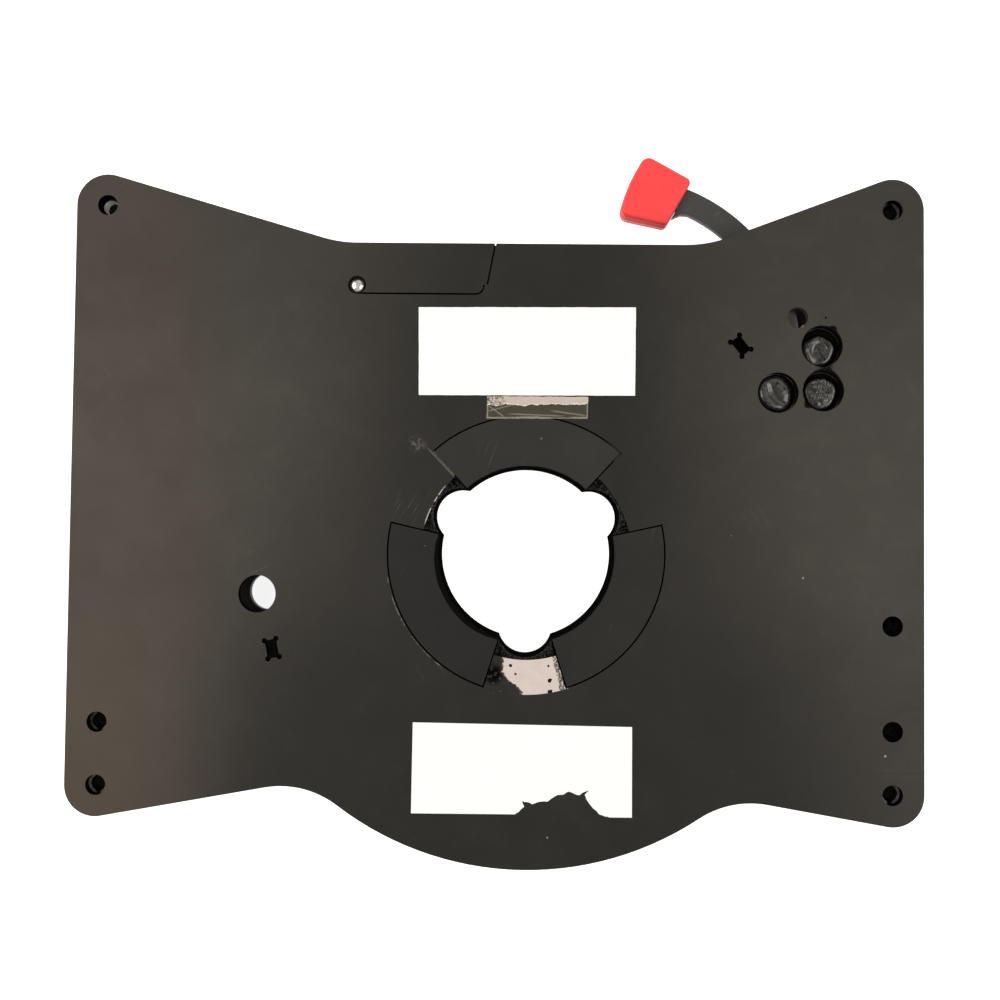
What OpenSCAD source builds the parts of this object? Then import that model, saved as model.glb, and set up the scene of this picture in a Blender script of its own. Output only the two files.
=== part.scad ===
// Swivel seat base for a camper or caravan seat.
// Two laser-cut steel plates turn on each other about a short hollow hub.
// The lower plate bolts to the vehicle and the upper plate carries the seat.
// The origin is on the turning axis, at the underside of the lower plate.
// +Z points up to the seat and +Y to the edge where the handle comes out.

/* [Plates] */
// Thickness of the seat plate and of the base plate
plate_t = 5; // [4:0.5:8]
// Clear height between the two plates
plate_gap = 20; // [19:0.5:30]
// Bolt column on the left, measured from the turning axis
hole_left_x = -205; // [-230:1:-190]
// Bolt column on the right, measured from the turning axis
hole_right_x = 175; // [170:1:200]
// Bolt row at the handle edge, measured from the turning axis
hole_top_y = 167.5; // [166:0.5:180]
// Distance from the handle-edge row to the farthest row
pitch_wide = 280; // [270:1:300]
// Distance from the handle-edge row to the nearer far row
pitch_narrow = 250; // [235:1:256]
// Distance from the handle-edge row to the single hole on the right
pitch_extra = 200; // [180:1:220]
// Diameter of the bolt holes
bolt_hole_d = 9.8; // [8.4:0.1:11]
// Radius of the rounded ears, concentric with their bolt holes
ear_r = 15; // [12:0.5:18]
// Radius of the round middle of the plates
middle_r = 150; // [146:1:156]
// Slope of the left ear's upper edge, in degrees
slope_top_left = 16.3; // [12:0.1:20]
// Slope of the right ear's upper edge, in degrees
slope_top_right = 20.7; // [14:0.1:24]
// Slope of the left ear's lower edge, in degrees
slope_low_left = 10.5; // [8:0.1:13]
// Slope of the right ear's lower edge, in degrees
slope_low_right = 9.6; // [8:0.1:13]
// Fillet between an ear and the round middle
waist_fillet_r = 45; // [25:1:60]
// Fillet where an ear's slope meets the straight handle edge
shoulder_fillet_r = 60; // [20:1:90]
// Diameter of the access hole through both plates
access_d = 18; // [12:0.5:22]
// Place of the access hole
access_pos = [-129, -20.4];

/* [Hub] */
// Bore of the hub, the way through for cables
hub_bore_r = 42; // [36:0.5:44]
// Radius of the three round notches in the hub bore
notch_r = 13.3; // [10:0.1:14]
// How far the notch centres lie inside the bore's edge
notch_inset = 5.7; // [5:0.1:8]
// Wall of the hub sleeve, which turns in the collar, outside the notches
sleeve_wall = 4.3; // [3.2:0.1:6]
// Running clearance round the sleeve
sleeve_clear = 0.1; // [0.05:0.01:0.2]
// Ledge between the notches and the ends of the plate's three tabs
tab_ledge = 0.9; // [0.4:0.1:2]
// Reach of the three flush hub segments past the ends of the tabs
segment_reach = 15.6; // [12:0.1:18]
// Width of a plate tab, in degrees
tab_span = 34; // [26:0.5:40]
// Width of the gap round the segments
segment_gap = 0.8; // [0.4:0.1:1.5]
// How far the ring under the hub reaches past the gap round the segments
ring_lap = 8.1; // [5:0.1:12]
// Thickness of that ring
hub_ring_t = 6; // [4:0.5:7]
// Thickness of the flange that holds the two halves together
flange_t = 3; // [2:0.1:3.2]
// How far the flange reaches past the collar's bore
flange_lip = 8; // [6:0.5:9]
// Bevel on the collar's outer edges
edge_bevel = 0.8; // [0.3:0.1:1.2]
// Width of the collar welded to the base plate
collar_w = 26; // [22:0.5:28]
// Height of the collar above the base plate
collar_t = 5; // [4:0.5:8]
// Thickness of the plastic thrust washer
washer_t = 1.2; // [0.8:0.1:1.6]
// Play between the washer and the base plate's face
washer_play = 0.2; // [0.1:0.05:0.4]
// Room round the flange in the base plate
flange_room = 2; // [1:0.1:3]

/* [Bearing] */
// Gap between the collar and the race rings
track_gap = 8; // [4:0.5:9]
// Diameter of the balls
ball_d = 10; // [8:0.5:12]
// Number of balls
ball_count = 20; // [12:1:28]
// Width of each race ring
race_w = 26; // [20:0.5:27]
// Clearance between a ball and its groove
ball_clear = 0.3; // [0.1:0.05:0.5]
// Depth of the groove in each race
groove_depth = 2; // [1:0.1:3]
// Thickness of the ball cage
cage_t = 3; // [2:0.5:4]
// Width of the ball cage
cage_w = 16; // [14:0.5:20]

/* [Lock] */
// Direction of the lever's pivot from the turning axis, in degrees
pivot_dir = 33.227; // [32:0.5:34]
// Gap between the lever's eye and the catches that turn past it
eye_gap = 0.8; // [0.5:0.1:1.5]
// Radius of the pivot pin
pivot_r = 5; // [4:0.1:5.5]
// Running clearance round the pivot pin
pivot_clear = 0.05; // [0.02:0.01:0.1]
// Wall of the bush in the lever
bush_wall = 1.5; // [1:0.1:2]
// Radius of the lever's eye round the pivot
eye_r = 9; // [8.2:0.1:9.2]
// Thickness of the lever
lever_t = 5; // [3:0.5:6]
// Height of the lever's underside above the base plate
lever_lift = 5; // [4.5:0.1:6]
// Direction of the pivot from the centre of the lever's arc, in degrees
arc_dir = -15.262; // [-17:0.5:-13]
// How far the pivot lies inside the lever's inner edge
eye_inset = 0.2; // [0:0.1:1]
// Outer radius of the lever's arc
arc_r = 88.8; // [86:0.1:90]
// Width of the lever
lever_w = 11.5; // [9:0.5:14]
// Angle of the lever's travel between free and locked
lock_angle = 10; // [9:0.5:11]
// Direction of the tooth from the turning axis, in degrees
tooth_dir = 50; // [49:0.5:52]
// Width of the tooth
tooth_w = 9; // [7:0.5:10]
// Length of the tooth before the finger widens
tooth_root = 8.5; // [8:0.1:10]
// Length of the wide part of the finger
finger_w = 15; // [12:0.5:18]
// Bevel on the corners of the tooth
tip_bevel = 1; // [0.5:0.1:1.5]
// Gap between the free tooth and the catch
tooth_free = 1.2; // [0.8:0.1:2]
// Gap between the race rings and the two catches
catch_gap = 2; // [1:0.1:3]
// How far the catches stay below the top of the lever
catch_drop = 0.4; // [0.2:0.1:1]
// Depth of a catch from its outside to the side by the bearing
catch_depth = 18; // [14:0.5:19]
// Width of a catch, in degrees
catch_span = 16; // [14:0.5:20]
// Clearance round the tooth in its notch
notch_clear = 1.4; // [1.1:0.1:2]
// Clearance under the bracket's strap
strap_clear = 1; // [0.6:0.1:1.5]
// Gap between the strap and the lever above it
strap_gap = 0.5; // [0.3:0.1:0.8]
// Gap between the lever's outer edge and the bracket
riser_gap = 0.5; // [0.4:0.1:1.5]
// Width of the bracket's upright part
riser_w = 15; // [10:0.5:18]
// Reach of the bracket from the pivot towards the handle edge
riser_up = 34.2; // [28:0.1:36]
// Reach of the bracket from the pivot the other way
riser_down = 10.8; // [9.5:0.1:13]
// Gap between the lever and the spacer tube above it
spacer_gap = 0.4; // [0.3:0.1:0.8]
// Wall of the spacer tube
spacer_wall = 5.2; // [3:0.1:6]
// Distance of the spring's hanger from the slot, to the left
hanger_left = 13.5; // [12.5:0.1:16]
// Radius of the hanger's pad
hanger_pad_r = 6; // [5:0.1:6.5]
// Thickness of the hanger's pad
hanger_pad_t = 1.5; // [1:0.1:2]
// Radius of the spring's two posts
post_r = 2; // [1.5:0.1:2.5]
// Radius of the heads of the posts
post_head_r = 3.4; // [2.8:0.1:4]
// Thickness of those heads
post_head_t = 1.2; // [0.8:0.1:1.4]
// Radius of the spring's wire
wire_r = 0.6; // [0.4:0.05:0.8]
// Radius of the spring's coil
coil_r = 3.2; // [2.5:0.1:3.4]
// Number of turns in the coil
coil_turns = 14; // [8:1:18]

/* [Handle] */
// Length of the moulded knob along its straight side
knob_l = 26.6; // [20:0.1:30]
// How much shorter the flared side is
knob_slant = 2.2; // [0:0.1:4]
// Width of the knob from the lever's middle to the straight side
knob_w_straight = 9.9; // [8:0.1:12]
// Width from the lever's middle to the flared side, where the lever goes in
knob_w_flared = 16.8; // [14:0.1:18]
// How much further out the flared side is at the knob's end
knob_flare = 5.2; // [2:0.1:8]
// Thickness of the knob
knob_t = 13; // [10:0.5:14]
// Radius of the knob's corners where the lever goes in
knob_corner_r = 2.6; // [2.4:0.1:5]
// Radius of the corners at the knob's end
knob_end_r = 4.5; // [4:0.1:7]
// Rounding of the knob's upper and lower edges
knob_edge_r = 2; // [1.5:0.1:2.3]
// Bulge of the knob's end
knob_bulge = 0.9; // [0:0.1:3]
// Widening of the lever at the knob
lever_flare = 5; // [0:0.1:6]

/* [Openings in the seat plate] */
// Sight hole over the lever, from the pivot
sight_from_pivot = [9.3, 36.3];
// Diameter of the sight hole
sight_d = 10; // [8:0.5:12]
// First of the two plug welds that hold the lever bracket, from the pivot
plug_from_pivot = [20.8, 22.4];
// Second plug weld, from the pivot
low_plug_from_pivot = [21.6, 0.9];
// Diameter of the holes for the plug welds
plug_hole_d = 19.4; // [17:0.1:20]
// Gap round a plug weld in its hole
plug_gap = 1.4; // [0.8:0.1:2]
// Gap round the weld over the pivot pin in its hole
pivot_plug_gap = 0.4; // [0.2:0.1:2]
// How far a plug weld stays below the plate's face
plug_sink = 0.5; // [0.2:0.1:1.5]
// Slot for a hooked tab on the lever's side, from the pivot
slot_from_pivot = [-18, 22.5];
// Direction of that slot, in degrees
slot_dir = -51; // [-90:1:0]
// Place of the same slot on the other side
spare_slot_pos = [-121.3, -46.6];
// Direction of the spare slot, in degrees
spare_slot_dir = -78; // [-90:1:0]
// Length of a slot between its corner reliefs
slot_l = 8.8; // [7:0.1:11]
// Width of a slot between its corner reliefs
slot_w = 5.6; // [4:0.1:7]
// Radius of the corner reliefs
relief_r = 1.3; // [1:0.1:1.6]
// Distance of the rest pin from the turning axis, to the left
rest_left = 83.1; // [76:0.1:90]
// Distance of the rest pin from the handle edge
rest_inset = 20.6; // [16:0.1:24]
// Diameter of the hole for the rest pin
rest_hole_d = 8.8; // [8:0.1:10]
// Width of the cut that frees the tongue
cut_w = 0.8; // [0.5:0.1:1.2]
// Distance of the cut's corner from the turning axis, to the left
cut_left = 20.8; // [15:0.1:40]
// Distance of the cut from the handle edge
cut_inset = 24.7; // [20:0.1:28]
// Lean of the cut's short side, in degrees
cut_lean = 10.6; // [5:0.1:16]
// Radius at the corner of that cut
cut_corner_r = 4; // [2:0.5:6]

/* [Nuts] */
// Width of the square weld nuts
nut_w = 14; // [12:0.5:16]
// Height of the weld nuts
nut_h = 6.5; // [5:0.5:8]
// Radius of the nuts' bore
nut_r = 3.4; // [3:0.1:4]

/* [Hidden] */
$fn = 96;

black = "#3a3733";
zinc = "#b9bcc0";
red = "#e8323a";
nylon = "#e6e2d6";

// Levels
seat_z = plate_t + plate_gap;
top_z = seat_z + plate_t;
race_h = (plate_gap - ball_d) / 2 + groove_depth;
ball_z = plate_t + plate_gap / 2;
lever_z = plate_t + lever_lift;
lever_top = lever_z + lever_t;

// Plate
hole_low_y = hole_top_y - pitch_wide;
ears = [
    [hole_left_x, hole_top_y], [hole_right_x, hole_top_y],
    [hole_right_x, hole_low_y], [hole_left_x, hole_low_y]
];
bolt_holes = concat(ears, [
    [hole_left_x, hole_top_y - pitch_narrow],
    [hole_right_x, hole_top_y - pitch_narrow],
    [hole_right_x, hole_top_y - pitch_extra]
]);

// Hub
notch_centre_r = hub_bore_r - notch_inset;
notch_far_r = notch_centre_r + notch_r;
tab_r = notch_far_r + tab_ledge;
segment_r = tab_r + segment_reach;
sleeve_r = notch_far_r + sleeve_wall;
collar_bore_r = sleeve_r + sleeve_clear;
collar_r = collar_bore_r + collar_w;
flange_r = collar_bore_r + flange_lip;
flange_top = plate_t - washer_t - washer_play;
cutout_r = segment_r + segment_gap;
hub_ring_r = cutout_r + ring_lap;
segment_half = (120 - tab_span) / 2;
segment_dirs = [90, 210, 330];
notch_dirs = [30, 150, 270];

// Bearing
track_r = collar_r + track_gap + race_w / 2;

// Lever and tooth
catch_r = track_r + race_w / 2 + catch_gap + catch_depth;
pivot_pos = polar(catch_r + eye_gap + eye_r, pivot_dir);
arc_centre = pivot_pos - polar(arc_r - lever_w - eye_inset, arc_dir);
catch_top = lever_top - catch_drop;
tooth_tip = polar(catch_r + tooth_free, tooth_dir);
tooth_arm = tooth_tip - pivot_pos;
tooth_axis = angle_of(tooth_arm) + 90;
locked_tip = pivot_pos + turn(tooth_arm, lock_angle);
arc_mid = arc_r - lever_w / 2;
arc_start = angle_of(pivot_pos - arc_centre);
knob_dir = 151;
knob_start = 69;
flare_start = 61.5;
knob_face = arc_centre + polar(arc_mid, knob_start);
arc_end = 78;
pocket_gap = 0.2;
spring_dir = 37;
spring_inset = 1;
spring_pos = arc_centre + polar(arc_mid - spring_inset, spring_dir);

// Places in the seat plate
sight_pos = pivot_pos + sight_from_pivot;
plug_pos = [pivot_pos + plug_from_pivot, pivot_pos + low_plug_from_pivot];
slot_pos = pivot_pos + slot_from_pivot;
hanger_pos = slot_pos - [hanger_left, 0];
rest_pos = [-rest_left, middle_r - rest_inset];
cut_corner = [-cut_left, middle_r - cut_inset];

// Bracket, spacer and pins
strap_t = lever_lift - strap_clear - strap_gap;
riser_bottom_y = pivot_pos.y - riser_down;
riser_top_y = pivot_pos.y + riser_up;
loop_play = 0.4;
coil_lift = 0.7;
spring_z = lever_top + coil_r + wire_r + coil_lift;
post_top = spring_z + wire_r + loop_play + post_head_t;

function polar(r, a) = [r * cos(a), r * sin(a)];
function turn(v, a) = [v.x * cos(a) - v.y * sin(a), v.x * sin(a) + v.y * cos(a)];
function angle_of(v) = atan2(v.y, v.x);
function on_line(p, d, t) = p + d * t;

// Where a line from p along the unit vector d first lies at distance r from the origin
function line_at_radius(p, d, r) = on_line(p, d, -(p * d) - sqrt((p * d) ^ 2 - p * p + r * r));

// Where a line from p along d reaches the height y
function line_at_height(p, d, y) = on_line(p, d, (y - p.y) / d.y);

// An ear's edge: the point where it leaves the ear's arc
function ear_point(c, n) = c + ear_r * n;

top_left_n = polar(1, 90 - slope_top_left);
top_left_d = polar(1, -slope_top_left);
top_right_n = polar(1, 90 + slope_top_right);
top_right_d = polar(1, 180 + slope_top_right);
low_left_n = polar(1, -90 + slope_low_left);
low_left_d = polar(1, slope_low_left);
low_right_n = polar(1, -90 - slope_low_right);
low_right_d = polar(1, 180 - slope_low_right);
shoulder_left = line_at_height(ear_point(ears[0], top_left_n), top_left_d, middle_r);
shoulder_right = line_at_height(ear_point(ears[1], top_right_n), top_right_d, middle_r);

// Points on an arc about c, from angle a0 to angle a1
function arc(c, r, a0, a1, step) =
    let (n = ceil(abs(a1 - a0) / step)) [for (i = [0 : n]) c + polar(r, a0 + (a1 - a0) * i / n)];

// Centre of the fillet between an ear's lower edge and the round middle
function waist_centre(start, d, n) =
    line_at_radius(start + waist_fillet_r * n, d, middle_r + waist_fillet_r);

// Centre of the fillet between an ear's upper edge, of direction d, and the straight edge
function shoulder_centre(p, d, slope) =
    p + [sign(d.x) * shoulder_fillet_r * tan(slope / 2), shoulder_fillet_r];

shoulder_left_c = shoulder_centre(shoulder_left, top_left_d, slope_top_left);
shoulder_right_c = shoulder_centre(shoulder_right, top_right_d, slope_top_right);
waist_left_c = waist_centre(ear_point(ears[3], low_left_n), low_left_d, low_left_n);
waist_right_c = waist_centre(ear_point(ears[2], low_right_n), low_right_d, low_right_n);

// The outline of both plates, anticlockwise from the right ear at the handle edge
module plate_outline() {
    fine = 6;
    long = 2.5;
    polygon(concat(
        arc(ears[1], ear_r, 0, 90 + slope_top_right, fine),
        arc(shoulder_right_c, shoulder_fillet_r, 270 + slope_top_right, 270, long),
        arc(shoulder_left_c, shoulder_fillet_r, 270, 270 - slope_top_left, long),
        arc(ears[0], ear_r, 90 - slope_top_left, 180, fine),
        arc(ears[3], ear_r, 180, 270 + slope_low_left, fine),
        arc(waist_left_c, waist_fillet_r, 90 + slope_low_left, angle_of(-waist_left_c), long),
        arc([0, 0], middle_r, angle_of(waist_left_c), angle_of(waist_right_c), long),
        arc(waist_right_c, waist_fillet_r, angle_of(-waist_right_c), 90 - slope_low_right, long),
        arc(ears[2], ear_r, 270 - slope_low_right, 360, fine)
    ));
}

module bolt_hole_pattern() {
    for (p = bolt_holes) translate(p) circle(d = bolt_hole_d, $fn = 48);
}

module access_hole() {
    translate(access_pos) circle(d = access_d);
}

// A sector of a disc from angle a0 to angle a1, under half a turn
module sector(r, a0, a1) {
    intersection() {
        circle(r);
        polygon([[0, 0], polar(2 * r, a0), polar(2 * r, (a0 + a1) / 2), polar(2 * r, a1)]);
    }
}

// The hub's bore with its three round notches
module hub_bore() {
    circle(hub_bore_r);
    for (a = notch_dirs) translate(polar(notch_centre_r, a)) circle(notch_r, $fn = 64);
}

module hub_opening() {
    circle(tab_r);
    for (a = segment_dirs) sector(cutout_r, a - segment_half, a + segment_half);
}

// A slot with round reliefs in its corners, as cut for a square-edged tab
module relief_slot() {
    square([slot_l, slot_w], center = true);
    for (x = [-1, 1], y = [-1, 1]) {
        translate([x * slot_l / 2, y * slot_w / 2]) circle(relief_r, $fn = 24);
    }
}

// One straight stretch of a narrow cut
module cut_line(p, q) {
    translate(p) rotate(angle_of(q - p)) translate([0, -cut_w / 2]) square([norm(q - p), cut_w]);
}

// The cut that leaves a springy tongue in the plate's handle edge
module tongue_cut() {
    rise = polar(1, 90 - cut_lean);
    reach = cut_corner_r * tan((90 + cut_lean) / 2);
    bend = [cut_corner.x - reach, cut_corner.y + cut_corner_r];
    cut_line(cut_corner + reach * rise, cut_corner + (middle_r + 1 - cut_corner.y) / rise.y * rise);
    cut_line([rest_pos.x, cut_corner.y], [bend.x, cut_corner.y]);
    intersection() {
        difference() {
            translate(bend) circle(cut_corner_r + cut_w / 2);
            translate(bend) circle(cut_corner_r - cut_w / 2);
        }
        polygon([bend, [bend.x, 0], cut_corner, cut_corner + reach * rise + [cut_w, 0]]);
    }
}

// A flat ring with bevelled outer edges, from height z upwards
module ring(r_in, r_out, z, h, bevel) {
    rotate_extrude($fn = 144) {
        polygon([
            [r_in, z], [r_out - bevel, z], [r_out, z + bevel],
            [r_out, z + h - bevel], [r_out - bevel, z + h], [r_in, z + h]
        ]);
    }
}

// A race ring with a ball groove, from height z upwards
module race(z) {
    rotate_extrude($fn = 144) {
        difference() {
            translate([track_r - race_w / 2, z]) square([race_w, race_h]);
            translate([track_r, ball_z]) circle(ball_d / 2 + ball_clear, $fn = 48);
        }
    }
}

module base_plate() {
    color(black) linear_extrude(plate_t) difference() {
        plate_outline();
        bolt_hole_pattern();
        access_hole();
        circle(flange_r + flange_room);
    }
}

module hub_collar() {
    color(black) ring(collar_bore_r, collar_r, plate_t, collar_t, edge_bevel);
}

module lower_race() {
    color(zinc) race(plate_t);
}

// A block on the base plate with the notch that the lever's tooth drops into
module catch_block() {
    centre_dir = angle_of(locked_tip);
    notch_axis = tooth_axis + lock_angle / 2;
    floor_gap = 1;
    translate([0, 0, plate_t]) linear_extrude(catch_top - plate_t) difference() {
        sector(catch_r, centre_dir - catch_span / 2, centre_dir + catch_span / 2);
        circle(catch_r - catch_depth);
        translate(locked_tip + polar(floor_gap, notch_axis)) rotate(notch_axis + 180) {
            translate([0, -tooth_w / 2 - notch_clear]) square([catch_depth, tooth_w + 2 * notch_clear]);
        }
    }
}

module catch_forward() {
    color(black) catch_block();
}

module catch_rearward() {
    color(black) rotate(180) catch_block();
}

module ball_cage() {
    pocket_clear = 0.15;
    color(nylon) translate([0, 0, ball_z - cage_t / 2]) difference() {
        cylinder(cage_t, r = track_r + cage_w / 2, $fn = 144);
        translate([0, 0, -1]) cylinder(cage_t + 2, r = track_r - cage_w / 2, $fn = 144);
        for (i = [0 : ball_count - 1]) {
            translate(concat(polar(track_r, i * 360 / ball_count), -1)) {
                cylinder(cage_t + 2, r = ball_d / 2 + pocket_clear, $fn = 32);
            }
        }
    }
}

module bearing_balls() {
    color(zinc) for (i = [0 : ball_count - 1]) {
        translate(concat(polar(track_r, i * 360 / ball_count), ball_z)) sphere(d = ball_d, $fn = 24);
    }
}

module seat_plate() {
    color(black) translate([0, 0, seat_z]) linear_extrude(plate_t) difference() {
        plate_outline();
        bolt_hole_pattern();
        access_hole();
        hub_opening();
        translate(sight_pos) circle(d = sight_d);
        for (p = concat(plug_pos, [pivot_pos])) translate(p) circle(d = plug_hole_d);
        translate(slot_pos) rotate(slot_dir) relief_slot();
        translate(spare_slot_pos) rotate(spare_slot_dir) relief_slot();
        translate(rest_pos) circle(d = rest_hole_d);
        tongue_cut();
    }
}

// One of the three hub segments that stand up through the seat plate
module hub_segment(dir) {
    half = segment_half - segment_gap / segment_r * 180 / PI;
    color(black) translate([0, 0, seat_z]) linear_extrude(plate_t) difference() {
        sector(segment_r, dir - half, dir + half);
        circle(hub_bore_r);
        for (a = notch_dirs) translate(polar(notch_centre_r, a)) circle(notch_r, $fn = 64);
    }
}

module hub_segment_top() {
    hub_segment(segment_dirs[0]);
}

module hub_segment_left() {
    hub_segment(segment_dirs[1]);
}

module hub_segment_right() {
    hub_segment(segment_dirs[2]);
}

module hub_ring() {
    color(black) translate([0, 0, seat_z - hub_ring_t]) linear_extrude(hub_ring_t) difference() {
        circle(hub_ring_r);
        hub_bore();
    }
}

module hub_sleeve() {
    color(black) translate([0, 0, flange_top]) {
        linear_extrude(seat_z - hub_ring_t - flange_top) difference() {
            circle(sleeve_r);
            hub_bore();
        }
    }
}

module retaining_flange() {
    color(black) translate([0, 0, flange_top - flange_t]) linear_extrude(flange_t) difference() {
        circle(flange_r);
        hub_bore();
    }
}

module thrust_washer() {
    side_clear = 0.3;
    color(nylon) translate([0, 0, flange_top]) linear_extrude(washer_t) difference() {
        circle(flange_r - side_clear);
        circle(sleeve_r + side_clear);
    }
}

module upper_race() {
    color(zinc) race(seat_z - race_h);
}

module weld_nuts() {
    corner_r = nut_w * 0.63;
    color(zinc) for (p = bolt_holes) {
        translate(concat(p, seat_z - nut_h)) linear_extrude(nut_h) difference() {
            intersection() {
                square(nut_w, center = true);
                circle(corner_r, $fn = 48);
            }
            circle(nut_r, $fn = 48);
        }
    }
}

// A lump of weld in its hole, with a rounded top below the plate's face
module weld_lump(r) {
    h = plate_t - plug_sink;
    round_r = 2;
    translate([0, 0, seat_z]) rotate_extrude($fn = 48) {
        square([r, h - round_r]);
        square([r - round_r, h]);
        translate([r - round_r, h - round_r]) circle(round_r, $fn = 32);
    }
}

module plug_welds() {
    color(black) {
        for (p = plug_pos) translate(p) weld_lump(plug_hole_d / 2 - plug_gap);
        translate(pivot_pos) weld_lump(plug_hole_d / 2 - pivot_plug_gap);
    }
}

// The folded bracket under the seat plate that carries the pin's lower end
module lever_bracket() {
    inner_r = arc_r + riser_gap;
    outer_x = arc_centre.x + inner_r + riser_w;
    strap_z = plate_t + strap_clear;
    color(black) difference() {
        union() {
            translate([0, 0, strap_z]) linear_extrude(seat_z - strap_z) difference() {
                translate([arc_centre.x, riser_bottom_y]) {
                    square([outer_x - arc_centre.x, riser_top_y - riser_bottom_y]);
                }
                translate(arc_centre) circle(inner_r, $fn = 144);
            }
            translate([0, 0, strap_z]) linear_extrude(strap_t) {
                translate(pivot_pos) circle(eye_r);
                polygon([
                    pivot_pos - [0, eye_r], [outer_x, riser_bottom_y],
                    [outer_x, pivot_pos.y + eye_r], pivot_pos + [0, eye_r]
                ]);
            }
        }
        translate(concat(pivot_pos, 0)) cylinder(seat_z, r = pivot_r + pivot_clear);
    }
}

module pivot_pin() {
    bottom_z = plate_t + strap_clear;
    color(zinc) translate(concat(pivot_pos, bottom_z)) cylinder(seat_z - bottom_z, r = pivot_r);
}

// The tube that keeps the lever at its height under the seat plate
module pivot_spacer() {
    bottom_z = lever_top + spacer_gap;
    color(zinc) translate(concat(pivot_pos, bottom_z)) difference() {
        cylinder(seat_z - bottom_z, r = pivot_r + spacer_wall);
        translate([0, 0, -1]) cylinder(plate_gap, r = pivot_r + pivot_clear);
    }
}

// A round post with a head, from height z up to the level top
module headed_post(z, top, head_up) {
    translate([0, 0, z]) cylinder(top - z, r = post_r, $fn = 32);
    head_z = head_up ? top - post_head_t : z;
    translate([0, 0, head_z]) cylinder(post_head_t, r = post_head_r, $fn = 32);
}

// The post under the seat plate that the fixed end of the spring hooks on
module spring_hanger() {
    post_sink = 0.5;
    hook_z = spring_z - wire_r - loop_play - post_head_t;
    color(black) translate(hanger_pos) {
        translate([0, 0, seat_z - hanger_pad_t]) cylinder(hanger_pad_t, r = hanger_pad_r, $fn = 48);
        headed_post(hook_z, seat_z - hanger_pad_t + post_sink, false);
    }
}

module spring_post() {
    color(zinc) translate(concat(spring_pos, 0)) headed_post(lever_top, post_top, true);
}

// The domed pin at the root of the tongue, which stops the seat plate from rocking
module rest_pin() {
    shank_r = 5;
    shoulder_r = 7;
    shoulder_t = 3;
    foot_gap = 0.5;
    foot_r = 2;
    head_r = rest_hole_d / 2 - 0.15;
    dome_h = 2.2;
    dome_r = (head_r ^ 2 + dome_h ^ 2) / (2 * dome_h);
    head_top = plate_t - 0.5;
    foot_z = plate_t + foot_gap;
    color(zinc) translate(rest_pos) rotate_extrude($fn = 64) {
        translate([0, foot_z + foot_r]) square([shank_r, seat_z - foot_z - foot_r]);
        translate([0, foot_z]) square([shank_r - foot_r, foot_r]);
        intersection() {
            translate([shank_r - foot_r, foot_z + foot_r]) circle(foot_r, $fn = 32);
            translate([0, foot_z]) square([shank_r, 2 * foot_r]);
        }
        translate([0, seat_z - shoulder_t]) square([shoulder_r, shoulder_t]);
        translate([0, seat_z]) square([head_r, head_top - dome_h]);
        intersection() {
            translate([0, seat_z + head_top - dome_r]) circle(dome_r, $fn = 96);
            translate([0, seat_z + head_top - dome_h]) square([head_r, dome_h]);
        }
    }
}

// The sector of a disc that the lever's arc takes up, as far as the angle to
module arc_sector(r, to) {
    intersection() {
        circle(r, $fn = 144);
        polygon([
            [0, 0], polar(2 * arc_r, arc_start), polar(2 * arc_r, (arc_start + to) / 2),
            polar(2 * arc_r, to)
        ]);
    }
}

// The arc of even width that the knob is moulded over
module lever_arc(extra, to) {
    difference() {
        arc_sector(arc_r + extra, to);
        circle(arc_r - lever_w - extra, $fn = 144);
    }
}

// The lever's own arc, whose inner edge widens at the knob
module lever_band() {
    flare_root = 2;
    flare_near = 67.2;
    flare_far = 68.8;
    inner_r = arc_r - lever_w;
    at_face = knob_face - arc_centre - polar(pocket_gap, knob_dir);
    difference() {
        arc_sector(arc_r, arc_end);
        difference() {
            circle(inner_r, $fn = 144);
            polygon([
                polar(inner_r + flare_root, flare_start),
                polar(inner_r - lever_flare / 4, flare_near),
                polar(inner_r - 2 * lever_flare / 3, flare_far),
                at_face + polar(lever_w / 2 + lever_flare, knob_dir + 90),
                at_face,
                polar(arc_mid, flare_start)
            ]);
        }
    }
}

// The flat lever: an arc from the handle to the pivot, with the toothed finger on its inside
module lever_outline() {
    along = polar(1, tooth_axis);
    side = polar(1, tooth_axis + 90);
    inner_r = arc_r - lever_w;
    finger_dir = 12;
    finger_span = 8;
    translate(arc_centre) lever_band();
    translate(pivot_pos) circle(eye_r);
    polygon([
        tooth_tip + side * (tooth_w / 2 - tip_bevel),
        tooth_tip + side * tooth_w / 2 - along * tip_bevel,
        tooth_tip + side * tooth_w / 2 - along * tooth_root,
        arc_centre + polar(inner_r, finger_dir - finger_span),
        arc_centre + polar(arc_mid, finger_dir),
        arc_centre + polar(inner_r, finger_dir + finger_span),
        tooth_tip - side * tooth_w / 2 - along * (tooth_root + finger_w),
        tooth_tip - side * tooth_w / 2 - along * tip_bevel,
        tooth_tip - side * (tooth_w / 2 - tip_bevel)
    ]);
}

module release_lever() {
    color(black) translate([0, 0, lever_z]) linear_extrude(lever_t) difference() {
        lever_outline();
        translate(pivot_pos) circle(pivot_r + pivot_clear + bush_wall);
    }
}

module lever_bush() {
    color(nylon) translate(concat(pivot_pos, lever_z)) difference() {
        cylinder(lever_t, r = pivot_r + pivot_clear + bush_wall);
        translate([0, 0, -1]) cylinder(lever_t + 2, r = pivot_r + pivot_clear);
    }
}

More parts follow.
